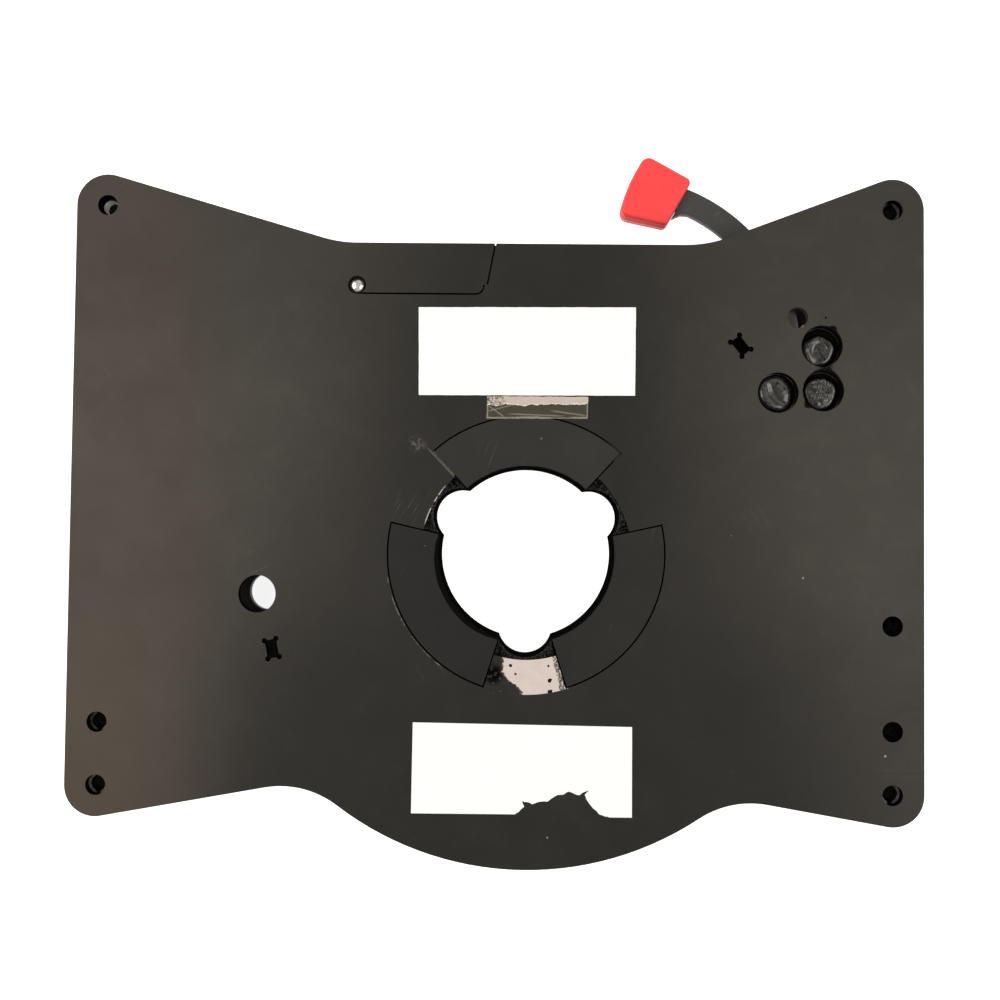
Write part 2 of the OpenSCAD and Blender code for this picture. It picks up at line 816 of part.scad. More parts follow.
// One rounded corner of the knob
module knob_corner(r) {
    rotate_extrude($fn = 32) {
        translate([0, -knob_t / 2]) square([r - knob_edge_r, knob_t]);
        translate([0, knob_edge_r - knob_t / 2]) square([r, knob_t - 2 * knob_edge_r]);
        for (s = [-1, 1]) {
            intersection() {
                translate([r - knob_edge_r, s * (knob_t / 2 - knob_edge_r)]) {
                    circle(knob_edge_r, $fn = 24);
                }
                translate([0, -knob_t / 2]) square([r, knob_t]);
            }
        }
    }
}

// The knob, a pad whose flared side and bulging end follow the hand
module lever_knob() {
    end_clear = 0.3;
    bulge_steps = 4;
    straight_end = [knob_l - knob_end_r, knob_end_r - knob_w_straight];
    flared_end = [knob_l - knob_slant - knob_end_r, knob_w_flared + knob_flare - knob_end_r];
    color(red) difference() {
        translate(concat(knob_face, lever_z + lever_t / 2)) rotate(knob_dir) hull() {
            translate([knob_corner_r, knob_corner_r - knob_w_straight]) knob_corner(knob_corner_r);
            translate([knob_corner_r, knob_w_flared - knob_corner_r]) knob_corner(knob_corner_r);
            for (i = [0 : bulge_steps]) {
                t = i / bulge_steps;
                bulge = knob_bulge * 4 * t * (1 - t);
                translate(straight_end + t * (flared_end - straight_end) + [bulge, 0]) {
                    knob_corner(knob_end_r);
                }
            }
        }
        translate([arc_centre.x, arc_centre.y, lever_z - pocket_gap]) {
            linear_extrude(lever_t + 2 * pocket_gap) lever_arc(pocket_gap, arc_end + end_clear);
        }
    }
}

// Points round a wire's section at p, in the plane of the unit vectors u and v
function wire_ring(p, u, v, sides) = [
    for (k = [0 : sides - 1]) p + wire_r * (cos(k * 360 / sides) * u + sin(k * 360 / sides) * v)
];

// A wire swept along a helix about the X axis, from x0 to x1
module coil(x0, x1, turns) {
    sides = 5;
    steps = 10 * turns;
    rings = [
        for (i = [0 : steps]) let (
            a = i * 360 * turns / steps,
            out = [0, cos(a), sin(a)]
        ) wire_ring([x0 + (x1 - x0) * i / steps, coil_r * out.y, coil_r * out.z], [1, 0, 0], out, sides)
    ];
    points = [for (r = rings) each r];
    walls = [
        for (i = [0 : steps - 1], k = [0 : sides - 1]) let (
            a = i * sides + k,
            b = i * sides + (k + 1) % sides
        ) [a, a + sides, b + sides, b]
    ];
    first = [for (k = [0 : sides - 1]) k];
    last = [for (k = [sides - 1 : -1 : 0]) steps * sides + k];
    polyhedron(points, concat([first], walls, [last]), convexity = 10);
}

// The pull spring: a coil with a closed loop at each end, round the hanger and the post
module lever_spring() {
    span = norm(spring_pos - hanger_pos);
    loop_r = post_r + loop_play + wire_r;
    coil_start = loop_r + coil_r;
    color(zinc) translate(concat(hanger_pos, spring_z)) rotate(angle_of(spring_pos - hanger_pos)) {
        translate([coil_start, 0, 0]) coil(0, span - 2 * coil_start, coil_turns);
        for (x = [0, span]) {
            translate([x, 0, 0]) rotate_extrude($fn = 32) translate([loop_r, 0]) circle(wire_r, $fn = 16);
        }
        for (x = [loop_r, span - coil_start - wire_r]) {
            translate([x, 0, 0]) rotate([0, 90, 0]) {
                cylinder(coil_r + wire_r, r = wire_r, $fn = 16);
            }
        }
    }
}

base_plate();
hub_collar();
lower_race();
catch_forward();
catch_rearward();
ball_cage();
bearing_balls();
seat_plate();
hub_segment_top();
hub_segment_left();
hub_segment_right();
hub_ring();
hub_sleeve();
retaining_flange();
thrust_washer();
upper_race();
weld_nuts();
plug_welds();
lever_bracket();
pivot_pin();
pivot_spacer();
spring_hanger();
rest_pin();
release_lever();
lever_bush();
spring_post();
lever_knob();
lever_spring();
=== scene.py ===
import bpy
import bmesh
import math
import random
from mathutils import Matrix, Quaternion, Vector, noise


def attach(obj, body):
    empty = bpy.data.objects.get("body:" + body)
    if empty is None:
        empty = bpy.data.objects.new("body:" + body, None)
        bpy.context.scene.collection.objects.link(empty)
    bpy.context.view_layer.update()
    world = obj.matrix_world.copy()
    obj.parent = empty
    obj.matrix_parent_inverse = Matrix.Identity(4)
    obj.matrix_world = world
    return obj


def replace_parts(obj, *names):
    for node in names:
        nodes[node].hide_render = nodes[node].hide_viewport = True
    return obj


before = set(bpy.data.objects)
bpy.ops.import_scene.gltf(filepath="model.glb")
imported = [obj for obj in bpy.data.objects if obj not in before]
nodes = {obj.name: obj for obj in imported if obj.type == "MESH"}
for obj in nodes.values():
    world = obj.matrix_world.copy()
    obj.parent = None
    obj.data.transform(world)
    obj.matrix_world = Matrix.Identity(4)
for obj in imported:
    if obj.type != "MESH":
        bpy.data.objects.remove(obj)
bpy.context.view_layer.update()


# The camera. It hangs over the seat side, a little off the turning axis, and
# looks straight down with the handle edge at the top of the picture.
camera = bpy.data.objects.new("camera", bpy.data.cameras.new("camera"))
bpy.context.scene.collection.objects.link(camera)
camera.data.lens = 42.015
camera.data.sensor_width = 36
lean = Vector((0.0330, 0.0137, 0.0107))
camera.matrix_world = (
    Matrix.Translation((-0.0049286, 0.0074129, 0.590))
    @ Quaternion(lean.normalized(), lean.length).to_matrix().to_4x4()
)
bpy.context.scene.camera = camera


# The table. A matt white sheet lies flat under the base plate. It glows a
# little, as a sheet on a light table does, so it stays white in the openings.
class Value:
    """A socket of a material. Sums and products of it add Math nodes."""

    def __init__(self, finish, socket):
        self.finish = finish
        self.socket = socket

    def math(self, kind, a, b):
        return self.finish.node("ShaderNodeMath", {"operation": kind}, {0: a, 1: b})

    def __add__(self, other):
        return self.math("ADD", self, other)

    def __radd__(self, other):
        return self.math("ADD", other, self)

    def __sub__(self, other):
        return self.math("SUBTRACT", self, other)

    def __rsub__(self, other):
        return self.math("SUBTRACT", other, self)

    def __mul__(self, other):
        return self.math("MULTIPLY", self, other)

    def __truediv__(self, other):
        return self.math("DIVIDE", self, other)

    def __pow__(self, other):
        return self.math("POWER", self, other)

    def __abs__(self):
        return self.math("ABSOLUTE", self, 0)


class Net:
    """A tree of nodes, of a material or of the walls round the table."""

    def __init__(self, tree):
        self.tree = tree

    def node(self, kind, settings={}, sockets={}, out=0):
        """Any node: its settings are set first, then the values or links of its sockets."""
        made = self.tree.nodes.new(kind)
        for name, value in settings.items():
            setattr(made, name, value)
        for name, value in sockets.items():
            if isinstance(value, Value):
                self.tree.links.new(value.socket, made.inputs[name])
            elif value is not None:
                made.inputs[name].default_value = value
        return Value(self, made.outputs[out])

    def mix(self, factor, a, b):
        """Colour a where the factor is 0 and colour b where it is 1."""
        colours = [c if isinstance(c, Value) else (*c, 1) for c in (a, b)]
        return self.node(
            "ShaderNodeMix", {"data_type": "RGBA"}, {0: factor, 6: colours[0], 7: colours[1]}, out=2
        )

    def ramp(self, value, low, high, to_low=0, to_high=1):
        """A soft step from one level to another while the value goes from low to high."""
        return self.node(
            "ShaderNodeMapRange",
            {"interpolation_type": "SMOOTHSTEP"},
            {0: value, 1: low, 2: high, 3: to_low, 4: to_high},
        )


class Finish(Net):
    """A surface finish. x, y and z are the place on the object in millimetres."""

    def __init__(self, name, **even):
        self.material = bpy.data.materials.new(name)
        self.material.use_nodes = True
        super().__init__(self.material.node_tree)
        self.shader = self.tree.nodes["Principled BSDF"]
        for name, value in even.items():
            self.shader.inputs[name.replace("_", " ")].default_value = value
        place = self.node("ShaderNodeTexCoord", out="Object")
        self.mm = self.node(
            "ShaderNodeVectorMath", {"operation": "SCALE"}, {0: place, "Scale": 1000}
        )
        self.x, self.y, self.z = (
            self.node("ShaderNodeSeparateXYZ", sockets={0: self.mm}, out=i) for i in range(3)
        )

    def shade(self, colour, factor):
        """The colour made lighter or darker by a factor."""
        return self.node("ShaderNodeVectorMath", {"operation": "SCALE"}, {0: colour, "Scale": factor})

    def stretch(self, scale, turn=0):
        """The place on the object, scaled by three factors after a turn about Z in degrees."""
        return self.node(
            "ShaderNodeMapping",
            {"vector_type": "TEXTURE"},
            {0: self.mm, 2: (0, 0, math.radians(turn)), 3: tuple(1 / s for s in scale)},
        )

    def noise(self, size, detail=3, rough=0.55, twist=0, vector=None):
        """Soft noise whose blotches are about size millimetres across."""
        return self.node(
            "ShaderNodeTexNoise",
            sockets={
                "Vector": vector or self.mm, "Scale": 1 / size, "Detail": detail,
                "Roughness": rough, "Distortion": twist,
            },
        )

    def cells(self, size, feature="F1", out=0):
        """Round cells about size millimetres apart: the distance from each centre."""
        return self.node(
            "ShaderNodeTexVoronoi", {"feature": feature}, {"Vector": self.mm, "Scale": 1 / size}, out=out
        )

    def band(self, value, low, high, soft):
        """1 between low and high, fading over soft on both sides."""
        return self.ramp(value, low - soft, low + soft) * self.ramp(value, high + soft, high - soft)

    def away(self, cx=0, cy=0):
        """The distance from an upright axis."""
        dx, dy = self.x - cx, self.y - cy
        return (dx * dx + dy * dy) ** 0.5

    def disc(self, cx, cy, r, soft):
        """A round spot."""
        return self.ramp(self.away(cx, cy), r + soft, r - soft)

    def discs(self, *spots):
        """Several round spots together, each with its centre, radius and softness."""
        spotted = self.disc(*spots[0])
        for spot in spots[1:]:
            spotted = spotted + self.disc(*spot)
        return spotted

    def stroke(self, start, end, width, soft):
        """A straight stroke of the given half width, fading at both ends."""
        fade = 0.12
        ux, uy = end[0] - start[0], end[1] - start[1]
        long = math.hypot(ux, uy)
        ux, uy = ux / long, uy / long
        dx, dy = self.x - start[0], self.y - start[1]
        along = dx * ux + dy * uy
        across = abs(dx * -uy + dy * ux)
        return self.band(along, 0, long, long * fade) * self.ramp(across, width + soft, width)

    def bump(self, height, depth_mm, under=None):
        """A Bump node for a height from 0 to 1 that stands for depth_mm."""
        return self.node(
            "ShaderNodeBump",
            sockets={"Strength": 1, "Distance": depth_mm / 1000, "Height": height, "Normal": under},
            out="Normal",
        )

    def done(self, soot_and_shade=None, **links):
        """Links the shader's own sockets, covers it in black where soot and painted shade lie and gives the
        material.
        """
        for name, value in links.items():
            self.tree.links.new(value.socket, self.shader.inputs[name.replace("_", " ")])
        if soot_and_shade:
            shade_and_soot_black = (0.002, 0.002, 0.0018, 1)
            black = self.node("ShaderNodeBsdfDiffuse", sockets={"Color": shade_and_soot_black})
            paint = Value(self, self.shader.outputs[0])
            covered = self.node("ShaderNodeMixShader", sockets={0: soot_and_shade, 1: paint, 2: black})
            self.tree.links.new(covered.socket, self.tree.nodes["Material Output"].inputs["Surface"])
        return self.material


table = bpy.data.meshes.new("table")
table_half, table_z = 1.6, -0.0004
corners = ((-1, -1), (1, -1), (1, 1), (-1, 1))
table.from_pydata([(x * table_half, y * table_half, table_z) for x, y in corners], [], [(0, 1, 2, 3)])
table = bpy.data.objects.new("table", table)
bpy.context.scene.collection.objects.link(table)
paper_sweep = Finish("paper_sweep", Roughness=0.9, Emission_Strength=0.86, Specular_IOR_Level=0.1)
# Painted shade: a dark spot on the sheet that the real sheet doesn't have. From the camera's place it lies
# behind one bolt hole, where the white sheet would show, so the hole looks dark there.
painted_shade_spot = paper_sweep.disc(180, -34, 4.5, 1)
table.data.materials.append(
    paper_sweep.done(
        Base_Color=paper_sweep.mix(painted_shade_spot, (0.88, 0.88, 0.878), (0.03, 0.03, 0.03)),
        Emission_Color=paper_sweep.mix(painted_shade_spot, (1, 1, 1), (0, 0, 0)),
    )
)


# The light. A warm soft box stands off to the left and a weaker one to the
# right. The walls are pale low down and dim overhead, so the middle stays dark.
def soft_box(name, place, aim, wide, power, colour):
    """A square lamp at a place, turned towards the point it is aimed at."""
    lamp = bpy.data.lights.new(name, "AREA")
    lamp.shape = "RECTANGLE"
    lamp.size, lamp.size_y = wide
    lamp.energy = power
    lamp.color = colour
    held = bpy.data.objects.new(name, lamp)
    held.location = place
    held.rotation_euler = (Vector(aim) - Vector(place)).to_track_quat("-Z", "Y").to_euler()
    bpy.context.scene.collection.objects.link(held)


soft_box("left_light", (-0.95, 0.18, 1.15), (-0.1, 0.03, 0), (0.8, 1.1), 9, (1, 0.93, 0.86))
soft_box("right_light", (1.0, -0.02, 1.1), (0.1, 0, 0), (0.7, 1.0), 6, (1, 0.97, 0.92))
walls = bpy.data.worlds.new("walls")
bpy.context.scene.world = walls
walls.use_nodes = True
room = Net(walls.node_tree)
aim = room.node("ShaderNodeTexCoord", out="Generated")
up = room.node("ShaderNodeSeparateXYZ", sockets={0: aim}, out=2)
pale = room.ramp(up, 0.98, 0.72, 0.22, 1.0)
backdrop = room.tree.nodes["Background"]
room.tree.links.new(room.mix(pale, (0, 0, 0), (1.0, 0.98, 0.95)).socket, backdrop.inputs["Color"])
backdrop.inputs["Strength"].default_value = 0.85
bpy.context.scene.view_settings.view_transform = "Standard"


# The seat plate. Steel sheet 5 mm thick, cut by laser and dipped in a satin
# dark paint, which has a fine orange-peel skin and is rubbed in use.
def paint_coat(finish, base, warm, light):
    """The colour, roughness and skin of the dark paint, with its cloudy sheen."""
    clouds = finish.noise(70, 4, 0.6)
    patches = finish.noise(16, 3, 0.6, 0.4)
    grain = finish.noise(1.3, 3, 0.6)
    colour = finish.mix(clouds, base, warm)
    colour = finish.mix(finish.ramp(patches, 0.45, 0.75) * 0.35, colour, light)
    colour = finish.shade(colour, 0.9 + grain * 0.2)
    rubbed = finish.ramp(finish.noise(30, 3, 0.65), 0.35, 0.75)
    rough = 0.44 + rubbed * 0.14 + grain * 0.05
    peel = finish.noise(0.9, 2, 0.5) * 0.6 + finish.noise(3.2, 2, 0.5) * 0.4
    return colour, rough, peel


def scratches(finish, seed, turn, rare=0.62):
    """Fine hair scratches, thin in one direction and broken by noise."""
    lines = finish.noise(1, 2, 0.5, 0, finish.stretch((0.012, 1.6, 1), turn))
    where = finish.ramp(finish.noise(24 + seed, 3), rare, rare + 0.12)
    return finish.ramp(lines, 0.63, 0.7) * where


def dust(finish, apart, size):
    """Sparse pale specks."""
    cell = finish.cells(apart)
    chosen = finish.ramp(finish.noise(apart * 1.7, 2), 0.56, 0.62)
    return finish.ramp(cell, size / apart, size * 0.5 / apart) * chosen


plate_top = 30
tab_r, gap_r = 50.5, 67
left_bolts, right_bolts = -205, 175
bolt_rows = back_row, middle_row, front_row, ear_row = 167.5, -32.5, -82.5, -112.5


def nearest(finish, value, places):
    """How far a value is from the nearest of some places."""
    gap = abs(value - places[0])
    for place in places[1:]:
        gap = finish.node("ShaderNodeMath", {"operation": "MINIMUM"}, {0: gap, 1: abs(value - place)})
    return gap


def bolt_offsets(finish):
    """How far a place is from the nearest bolt hole, along x and along y."""
    across = nearest(finish, finish.x, (left_bolts, right_bolts))
    return across, nearest(finish, finish.y, bolt_rows)


def edges_eased(node, width):
    """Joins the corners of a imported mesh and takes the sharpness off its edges."""
    weld = nodes[node].modifiers.new("joined", "WELD")
    weld.merge_threshold = 0.000001
    bevel = nodes[node].modifiers.new("eased", "BEVEL")
    bevel.width = width
    bevel.segments = 2
    bevel.limit_method = "ANGLE"
    bevel.angle_limit = math.radians(35)
    bevel.harden_normals = False


def wear_finish(node, material):
    """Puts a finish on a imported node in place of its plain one."""
    mesh = nodes[node].data
    mesh.materials.clear()
    mesh.materials.append(material)


def at(r, a):
    """The place at a radius and a bearing in degrees."""
    return r * math.cos(math.radians(a)), r * math.sin(math.radians(a))


seat = Finish("seat_plate_paint", Specular_IOR_Level=0.3)
colour, rough, peel = paint_coat(
    seat, (0.030, 0.0272, 0.0225), (0.035, 0.031, 0.0250), (0.047, 0.042, 0.034)
)
# Painted light and shade in the broad tones: the paint is darker in the middle and paler at the ears, most
# at the left, where it is also warmer. They may be wear or light there. Here they are part of the paint.
ears = seat.ramp(abs(seat.x) + seat.y * 0.35, 70, 165)
waist = seat.ramp(abs(seat.x), 40, 95) * seat.ramp(abs(seat.y - 35), 100, 40)
left_side = seat.ramp(seat.x, -120, -195)
colour = seat.mix(left_side * 0.6, colour, (0.038, 0.0270, 0.0190))
painted_light_and_shade = 0.38 + ears * 0.6 + waist * 0.24 + left_side * (0.2 + seat.ramp(seat.y, 0, -70) * 0.5)
colour = seat.shade(colour, painted_light_and_shade)
r = seat.away()
bearing = seat.node("ShaderNodeMath", {"operation": "ARCTAN2"}, {0: seat.y, 1: seat.x})
bearing = bearing * (180 / math.pi)
on_top = seat.ramp(seat.z, plate_top - 0.3, plate_top - 0.1)
rim_dirt = seat.noise(2.2, 3, 0.6)
# The corner of the cut-out that was scraped bright, and the pale mark beyond it.
scraped = seat.stroke(at(51, 133.4), at(69, 133.4), 0.2, 0.25)
smudge = seat.disc(-53, 52.5, 3.2, 2.4) * seat.ramp(seat.noise(2.4, 4, 0.7), 0.42, 0.62)
# The left tab's bright inner rim and its faint scratches.
rim = seat.band(r, tab_r - 0.3, tab_r + 0.4, 0.15) * seat.band(bearing, 141, 163, 2)
rim = rim * seat.ramp(seat.noise(2.2, 3), 0.38, 0.5)
tab_hair = seat.noise(1, 2, 0.5, 0, seat.stretch((0.05, 1.4, 1), 62))
tab_hair = seat.ramp(tab_hair, 0.6, 0.72) * seat.disc(-55, 25, 9, 5)
# A pale broken line along the gap on the lower left.
low_gap = seat.band(r, gap_r + 0.1, gap_r + 0.55, 0.2) * seat.band(bearing, -172, -124, 3)
worn = low_gap * seat.ramp(seat.noise(5, 4, 0.7), 0.47, 0.6)
tan = (0.34, 0.30, 0.24)
colour = seat.mix(scraped * on_top * 0.25, colour, tan)
colour = seat.mix(smudge * on_top * 0.35, colour, (0.26, 0.235, 0.21))
colour = seat.mix(rim * on_top * 0.9, colour, (0.55, 0.53, 0.5))
colour = seat.mix(tab_hair * on_top * 0.35, colour, (0.16, 0.155, 0.145))
colour = seat.mix(worn * on_top * 0.7, colour, (0.2, 0.185, 0.16))
# Two faint dark streaks that run to the right edge.
streaks = seat.stroke((177, -72.2), (190, -70.8), 0.5, 1.4)
streaks = streaks + seat.stroke((158, -102.4), (190, -101.8), 0.3, 0.6)
colour = seat.mix(streaks * on_top * 0.35, colour, (0.018, 0.018, 0.016))
# The bare patch on the tab towards the front, with its ragged left edge and pits.
ragged = seat.noise(3.2, 5, 0.75)
left_edge = -10.4 + (ragged - 0.5) * 7 + seat.ramp(seat.y, -57, -66) * 9
bare = seat.ramp(seat.x - left_edge, -0.15, 0.15)
tab_end = seat.ramp(bearing, -71.3, -71.8)
bare = bare * tab_end * seat.ramp(r, gap_r + 0.2, gap_r - 0.1) * seat.ramp(r, tab_r - 0.1, tab_r + 0.1)
pits = seat.discs(
    (11.3, -53.2, 0.5, 0.3), (11.9, -60.1, 1.0, 0.7), (19.4, -60.9, 1.1, 0.7),
    (-6.6, -53.2, 0.8, 0.6), (-4.4, -57.2, 0.5, 0.4), (12.4, -65.4, 1.3, 0.9),
)
pits = seat.ramp(pits + (rim_dirt - 0.5) * 2.2, 0.45, 0.6) + seat.ramp(seat.cells(5), 0.06, 0.03)
flank = seat.ramp(bearing + (ragged - 0.5) * 6, -75.6, -75.0)
patch = bare * on_top
bare = patch * (1 - pits)
crumbs = seat.ramp(seat.noise(0.9, 3, 0.7), 0.66, 0.7) * seat.disc(-14.5, -62, 4, 2) * on_top
halo = seat.ramp(seat.x - left_edge, -1.1, 0.1) * seat.band(r, tab_r, gap_r - 0.1, 0.2)
halo = halo * tab_end * on_top
colour = seat.mix(halo * 0.8, colour, (0.15, 0.105, 0.075))
primer = seat.mix(seat.noise(5, 4, 0.6), (0.56, 0.47, 0.43), (0.68, 0.60, 0.56))
primer = seat.mix(flank * seat.ramp(seat.noise(1.1, 4, 0.7), 0.40, 0.54), primer, (0.07, 0.065, 0.055))
colour = seat.mix(bare, colour, primer)
colour = seat.mix(crumbs, colour, (0.8, 0.75, 0.7))
# Burnt paint round the plug welds, heaviest over the upper one; its black also covers their holes' walls as
# painted shade. The walls of the other holes and cuts are black as painted shade.
burnt = seat.disc(143.0, 90.6, 5.5, 4.5) * 0.75
burnt = burnt + seat.discs(
    (141.3, 101.6, 9.9, 0.5), (146.6, 109.6, 1.9, 1.2), (141.9, 80.0, 10.0, 0.7),
    (143.0, 115.2, 0.6, 0.4), (134.5, 73.2, 2.0, 1.6),
)
burnt = seat.ramp(burnt + (rim_dirt - 0.5) * 0.7 + seat.disc(120.3, 78.8, 9.75, 0.1), 0.35, 0.8)
dx, dy = bolt_offsets(seat)
inside = seat.ramp(r, 153, 152) + seat.ramp((dx * dx + dy * dy) ** 0.5, 7, 6.5)
hole_wall_painted_shade = seat.ramp(seat.z, plate_top - 0.2, plate_top - 0.5) * inside * 0.95
stain = seat.disc(-15.0, -57.5, 4.5, 2.5) * seat.ramp(bearing, -108.2, -107.6)
stain = stain * seat.ramp(r, gap_r, gap_r - 0.2)
stain = stain * (1 - bare) * seat.ramp(rim_dirt, 0.36, 0.46)
seat_soot_and_painted_shade = seat.ramp(burnt * 0.85 + hole_wall_painted_shade + stain * 0.9 + (patch - bare) * 0.8, 0, 1)
hair = scratches(seat, 0, 24) + scratches(seat, 9, -58, 0.64)
specks = dust(seat, 17, 0.28)
specks = specks + seat.discs((132.4, -9.9, 0.4, 0.2), (11.5, -134.5, 0.35, 0.25), (171.5, -93.9, 0.5, 0.25))
fine_dust = seat.ramp(seat.cells(2.6), 0.11, 0.06) * seat.disc(12, -126, 12, 10)
specks = specks + fine_dust * seat.ramp(seat.noise(4), 0.5, 0.6) * 0.6
colour = seat.mix(hair * on_top * 0.22, colour, (0.2, 0.19, 0.17))
colour = seat.mix(specks * on_top * 0.6, colour, (0.5, 0.48, 0.45))
skin = seat.bump(peel, 0.035)
skin = seat.bump(bare * -1, 0.06, skin)
rough = rough + bare * 0.25 - hair * 0.08
seat_paint = seat.done(seat_soot_and_painted_shade, Base_Color=colour, Roughness=rough, Normal=skin)
wear_finish("seat_plate", seat_paint)
edges_eased("seat_plate", 0.0003)


# The three hub segments. They are cut from the same sheet, sit flush in the
# seat plate's opening and are painted with it, a little thinner and greyer.
hub = Finish("hub_paint", Specular_IOR_Level=0.3)
colour, rough, peel = paint_coat(
    hub, (0.025, 0.0240, 0.0205), (0.029, 0.0275, 0.0235), (0.036, 0.034, 0.029)
)
# Painted light and shade: darker overall, lighter towards the top and the right.
colour = hub.shade(colour, 0.3 + hub.ramp(hub.y, 0, 50) * 0.35 + hub.ramp(hub.x, 0, 40) * 0.15)
r = hub.away()
# Painted shade: a black band on top along the bore, widest at the lower left, and black walls in the cuts.
shade_band_r = 42.5 + hub.ramp((hub.x * 0.87 + hub.y * 0.5) / r, -0.6, -1, 0, 1.9) + (hub.noise(6, 3) - 0.5) * 0.7
painted_shade_edges = hub.ramp(hub.z, plate_top - 0.2, plate_top - 0.4) * 0.98 + hub.ramp(r - shade_band_r, 0.15, -0.15) * 0.9
hair = scratches(hub, 4, 70, 0.58)
chips = hub.ramp(hub.cells(21), 0.035, 0.02) * hub.ramp(hub.noise(12, 2), 0.5, 0.55)
colour = hub.mix(hair * 0.25, colour, (0.15, 0.145, 0.135))
colour = hub.mix(chips, colour, (0.12, 0.11, 0.10))
skin = hub.bump(peel - chips, 0.035)
hub_paint = hub.done(painted_shade_edges, Base_Color=colour, Roughness=rough, Normal=skin)
for name in ("hub_segment_top", "hub_segment_left", "hub_segment_right"):
    wear_finish(name, hub_paint)
    edges_eased(name, 0.00025)


# The base plate. The same sheet and outline, painted in the same bath, with
# more rubbing marks because the seat plate turns close above it.
base = Finish("base_plate_paint")
colour, rough, peel = paint_coat(base, (0.026, 0.025, 0.022), (0.032, 0.03, 0.0265), (0.045, 0.042, 0.037))
swept = base.ramp(base.noise(1, 3, 0.6, 0, base.stretch((0.06, 0.06, 1))), 0.5, 0.62)
swept = swept * base.band(base.away(), 128, 146, 6) * base.ramp(base.noise(35, 3), 0.45, 0.6)
colour = base.mix(swept * 0.4, colour, (0.16, 0.155, 0.145))
grime = base.ramp(base.noise(26, 5, 0.65), 0.52, 0.7)
colour = base.mix(grime * 0.3, colour, (0.085, 0.07, 0.052))
hair = scratches(base, 3, -20, 0.55)
colour = base.mix(hair * 0.3, colour, (0.22, 0.21, 0.19))
skin = base.bump(peel - hair * 0.4, 0.04)
# Painted shade: black spots that the real plate doesn't have. They lie where the camera looks through the
# nuts, so that the holes look black from there. Most are beside the base plate's own holes.
painted_shade_behind_holes = base.discs(*((right_bolts, row, 10, 1.5) for row in (middle_row, front_row, ear_row)))
painted_shade_behind_holes = painted_shade_behind_holes + base.discs(
    (left_bolts - 6, back_row + 5, 5, 1), (right_bolts + 5.6, back_row + 5, 5, 1)
)
painted_shade_behind_holes = painted_shade_behind_holes + base.discs(
    (left_bolts - 6, front_row - 2.8, 5, 1), (left_bolts - 6, ear_row - 3.7, 5, 1)
)
base_paint = base.done(painted_shade_behind_holes * 0.96, Base_Color=colour, Roughness=rough + grime * 0.1, Normal=skin)
wear_finish("base_plate", base_paint)
edges_eased("base_plate", 0.0003)


# The hub's rings: the ring and sleeve under the segments, the collar on the base plate and the flange below.
# Turned steel, welded up and painted, and made almost black here as painted shade, so the bore's wall looks
# black.
turned = Finish("turned_hub_paint", Specular_IOR_Level=0.0)
colour, rough, peel = paint_coat(
    turned, (0.002, 0.002, 0.0018), (0.003, 0.003, 0.0027), (0.006, 0.0056, 0.005)
)
r = turned.away()
tooling = turned.node("ShaderNodeMath", {"operation": "SINE"}, {0: (r + turned.z) * 9})
scale = turned.ramp(turned.noise(2.5, 5, 0.7), 0.5, 0.75) * turned.ramp(r, 43, 44)
colour = turned.mix(scale * 0.35, colour, (0.014, 0.012, 0.010))
skin = turned.bump(peel * 0.7 + tooling * 0.12 + scale * 0.5, 0.09)
turned_paint = turned.done(Base_Color=colour, Roughness=rough + 0.3, Normal=skin)
for name in ("hub_ring", "hub_sleeve", "hub_collar", "retaining_flange"):
    wear_finish(name, turned_paint)
    edges_eased(name, 0.0002)


# The ball races and the catches. The races are turned from bearing steel and
# greased; the catches are blocks cut from plate and painted after welding.
race = Finish("race_steel", Metallic=1)
turning = race.node("ShaderNodeCombineXYZ", sockets={0: race.away(), 1: race.z * 0.6})
rings = race.noise(0.35, 2, 0.5, 0, turning)
grease = race.ramp(race.noise(9, 4, 0.6), 0.5, 0.68)
colour = race.mix(rings, (0.36, 0.35, 0.33), (0.52, 0.51, 0.49))
colour = race.mix(grease * 0.7, colour, (0.16, 0.12, 0.07))
race_steel = race.done(
    Base_Color=colour,
    Roughness=0.36 - grease * 0.12 + rings * 0.1,
    Normal=race.bump(rings + grease * 2, 0.012),
)
for name in ("lower_race", "upper_race"):
    wear_finish(name, race_steel)
    edges_eased(name, 0.0002)
block = Finish("catch_paint")
colour, rough, peel = paint_coat(block, (0.026, 0.025, 0.022), (0.032, 0.03, 0.0265), (0.05, 0.046, 0.04))
torch = block.noise(1, 3, 0.6, 0, block.stretch((0.9, 0.9, 0.12)))
rubbed = block.ramp(block.noise(4, 4, 0.6), 0.55, 0.7) * block.ramp(block.z, 14.2, 14.5)
colour = block.mix(rubbed * 0.8, colour, (0.35, 0.34, 0.32))
skin = block.bump(peel * 0.4 + torch * 0.6, 0.12)
block_paint = block.done(Base_Color=colour, Roughness=rough, Normal=skin)
for name in ("catch_forward", "catch_rearward"):
    wear_finish(name, block_paint)
    edges_eased(name, 0.0003)


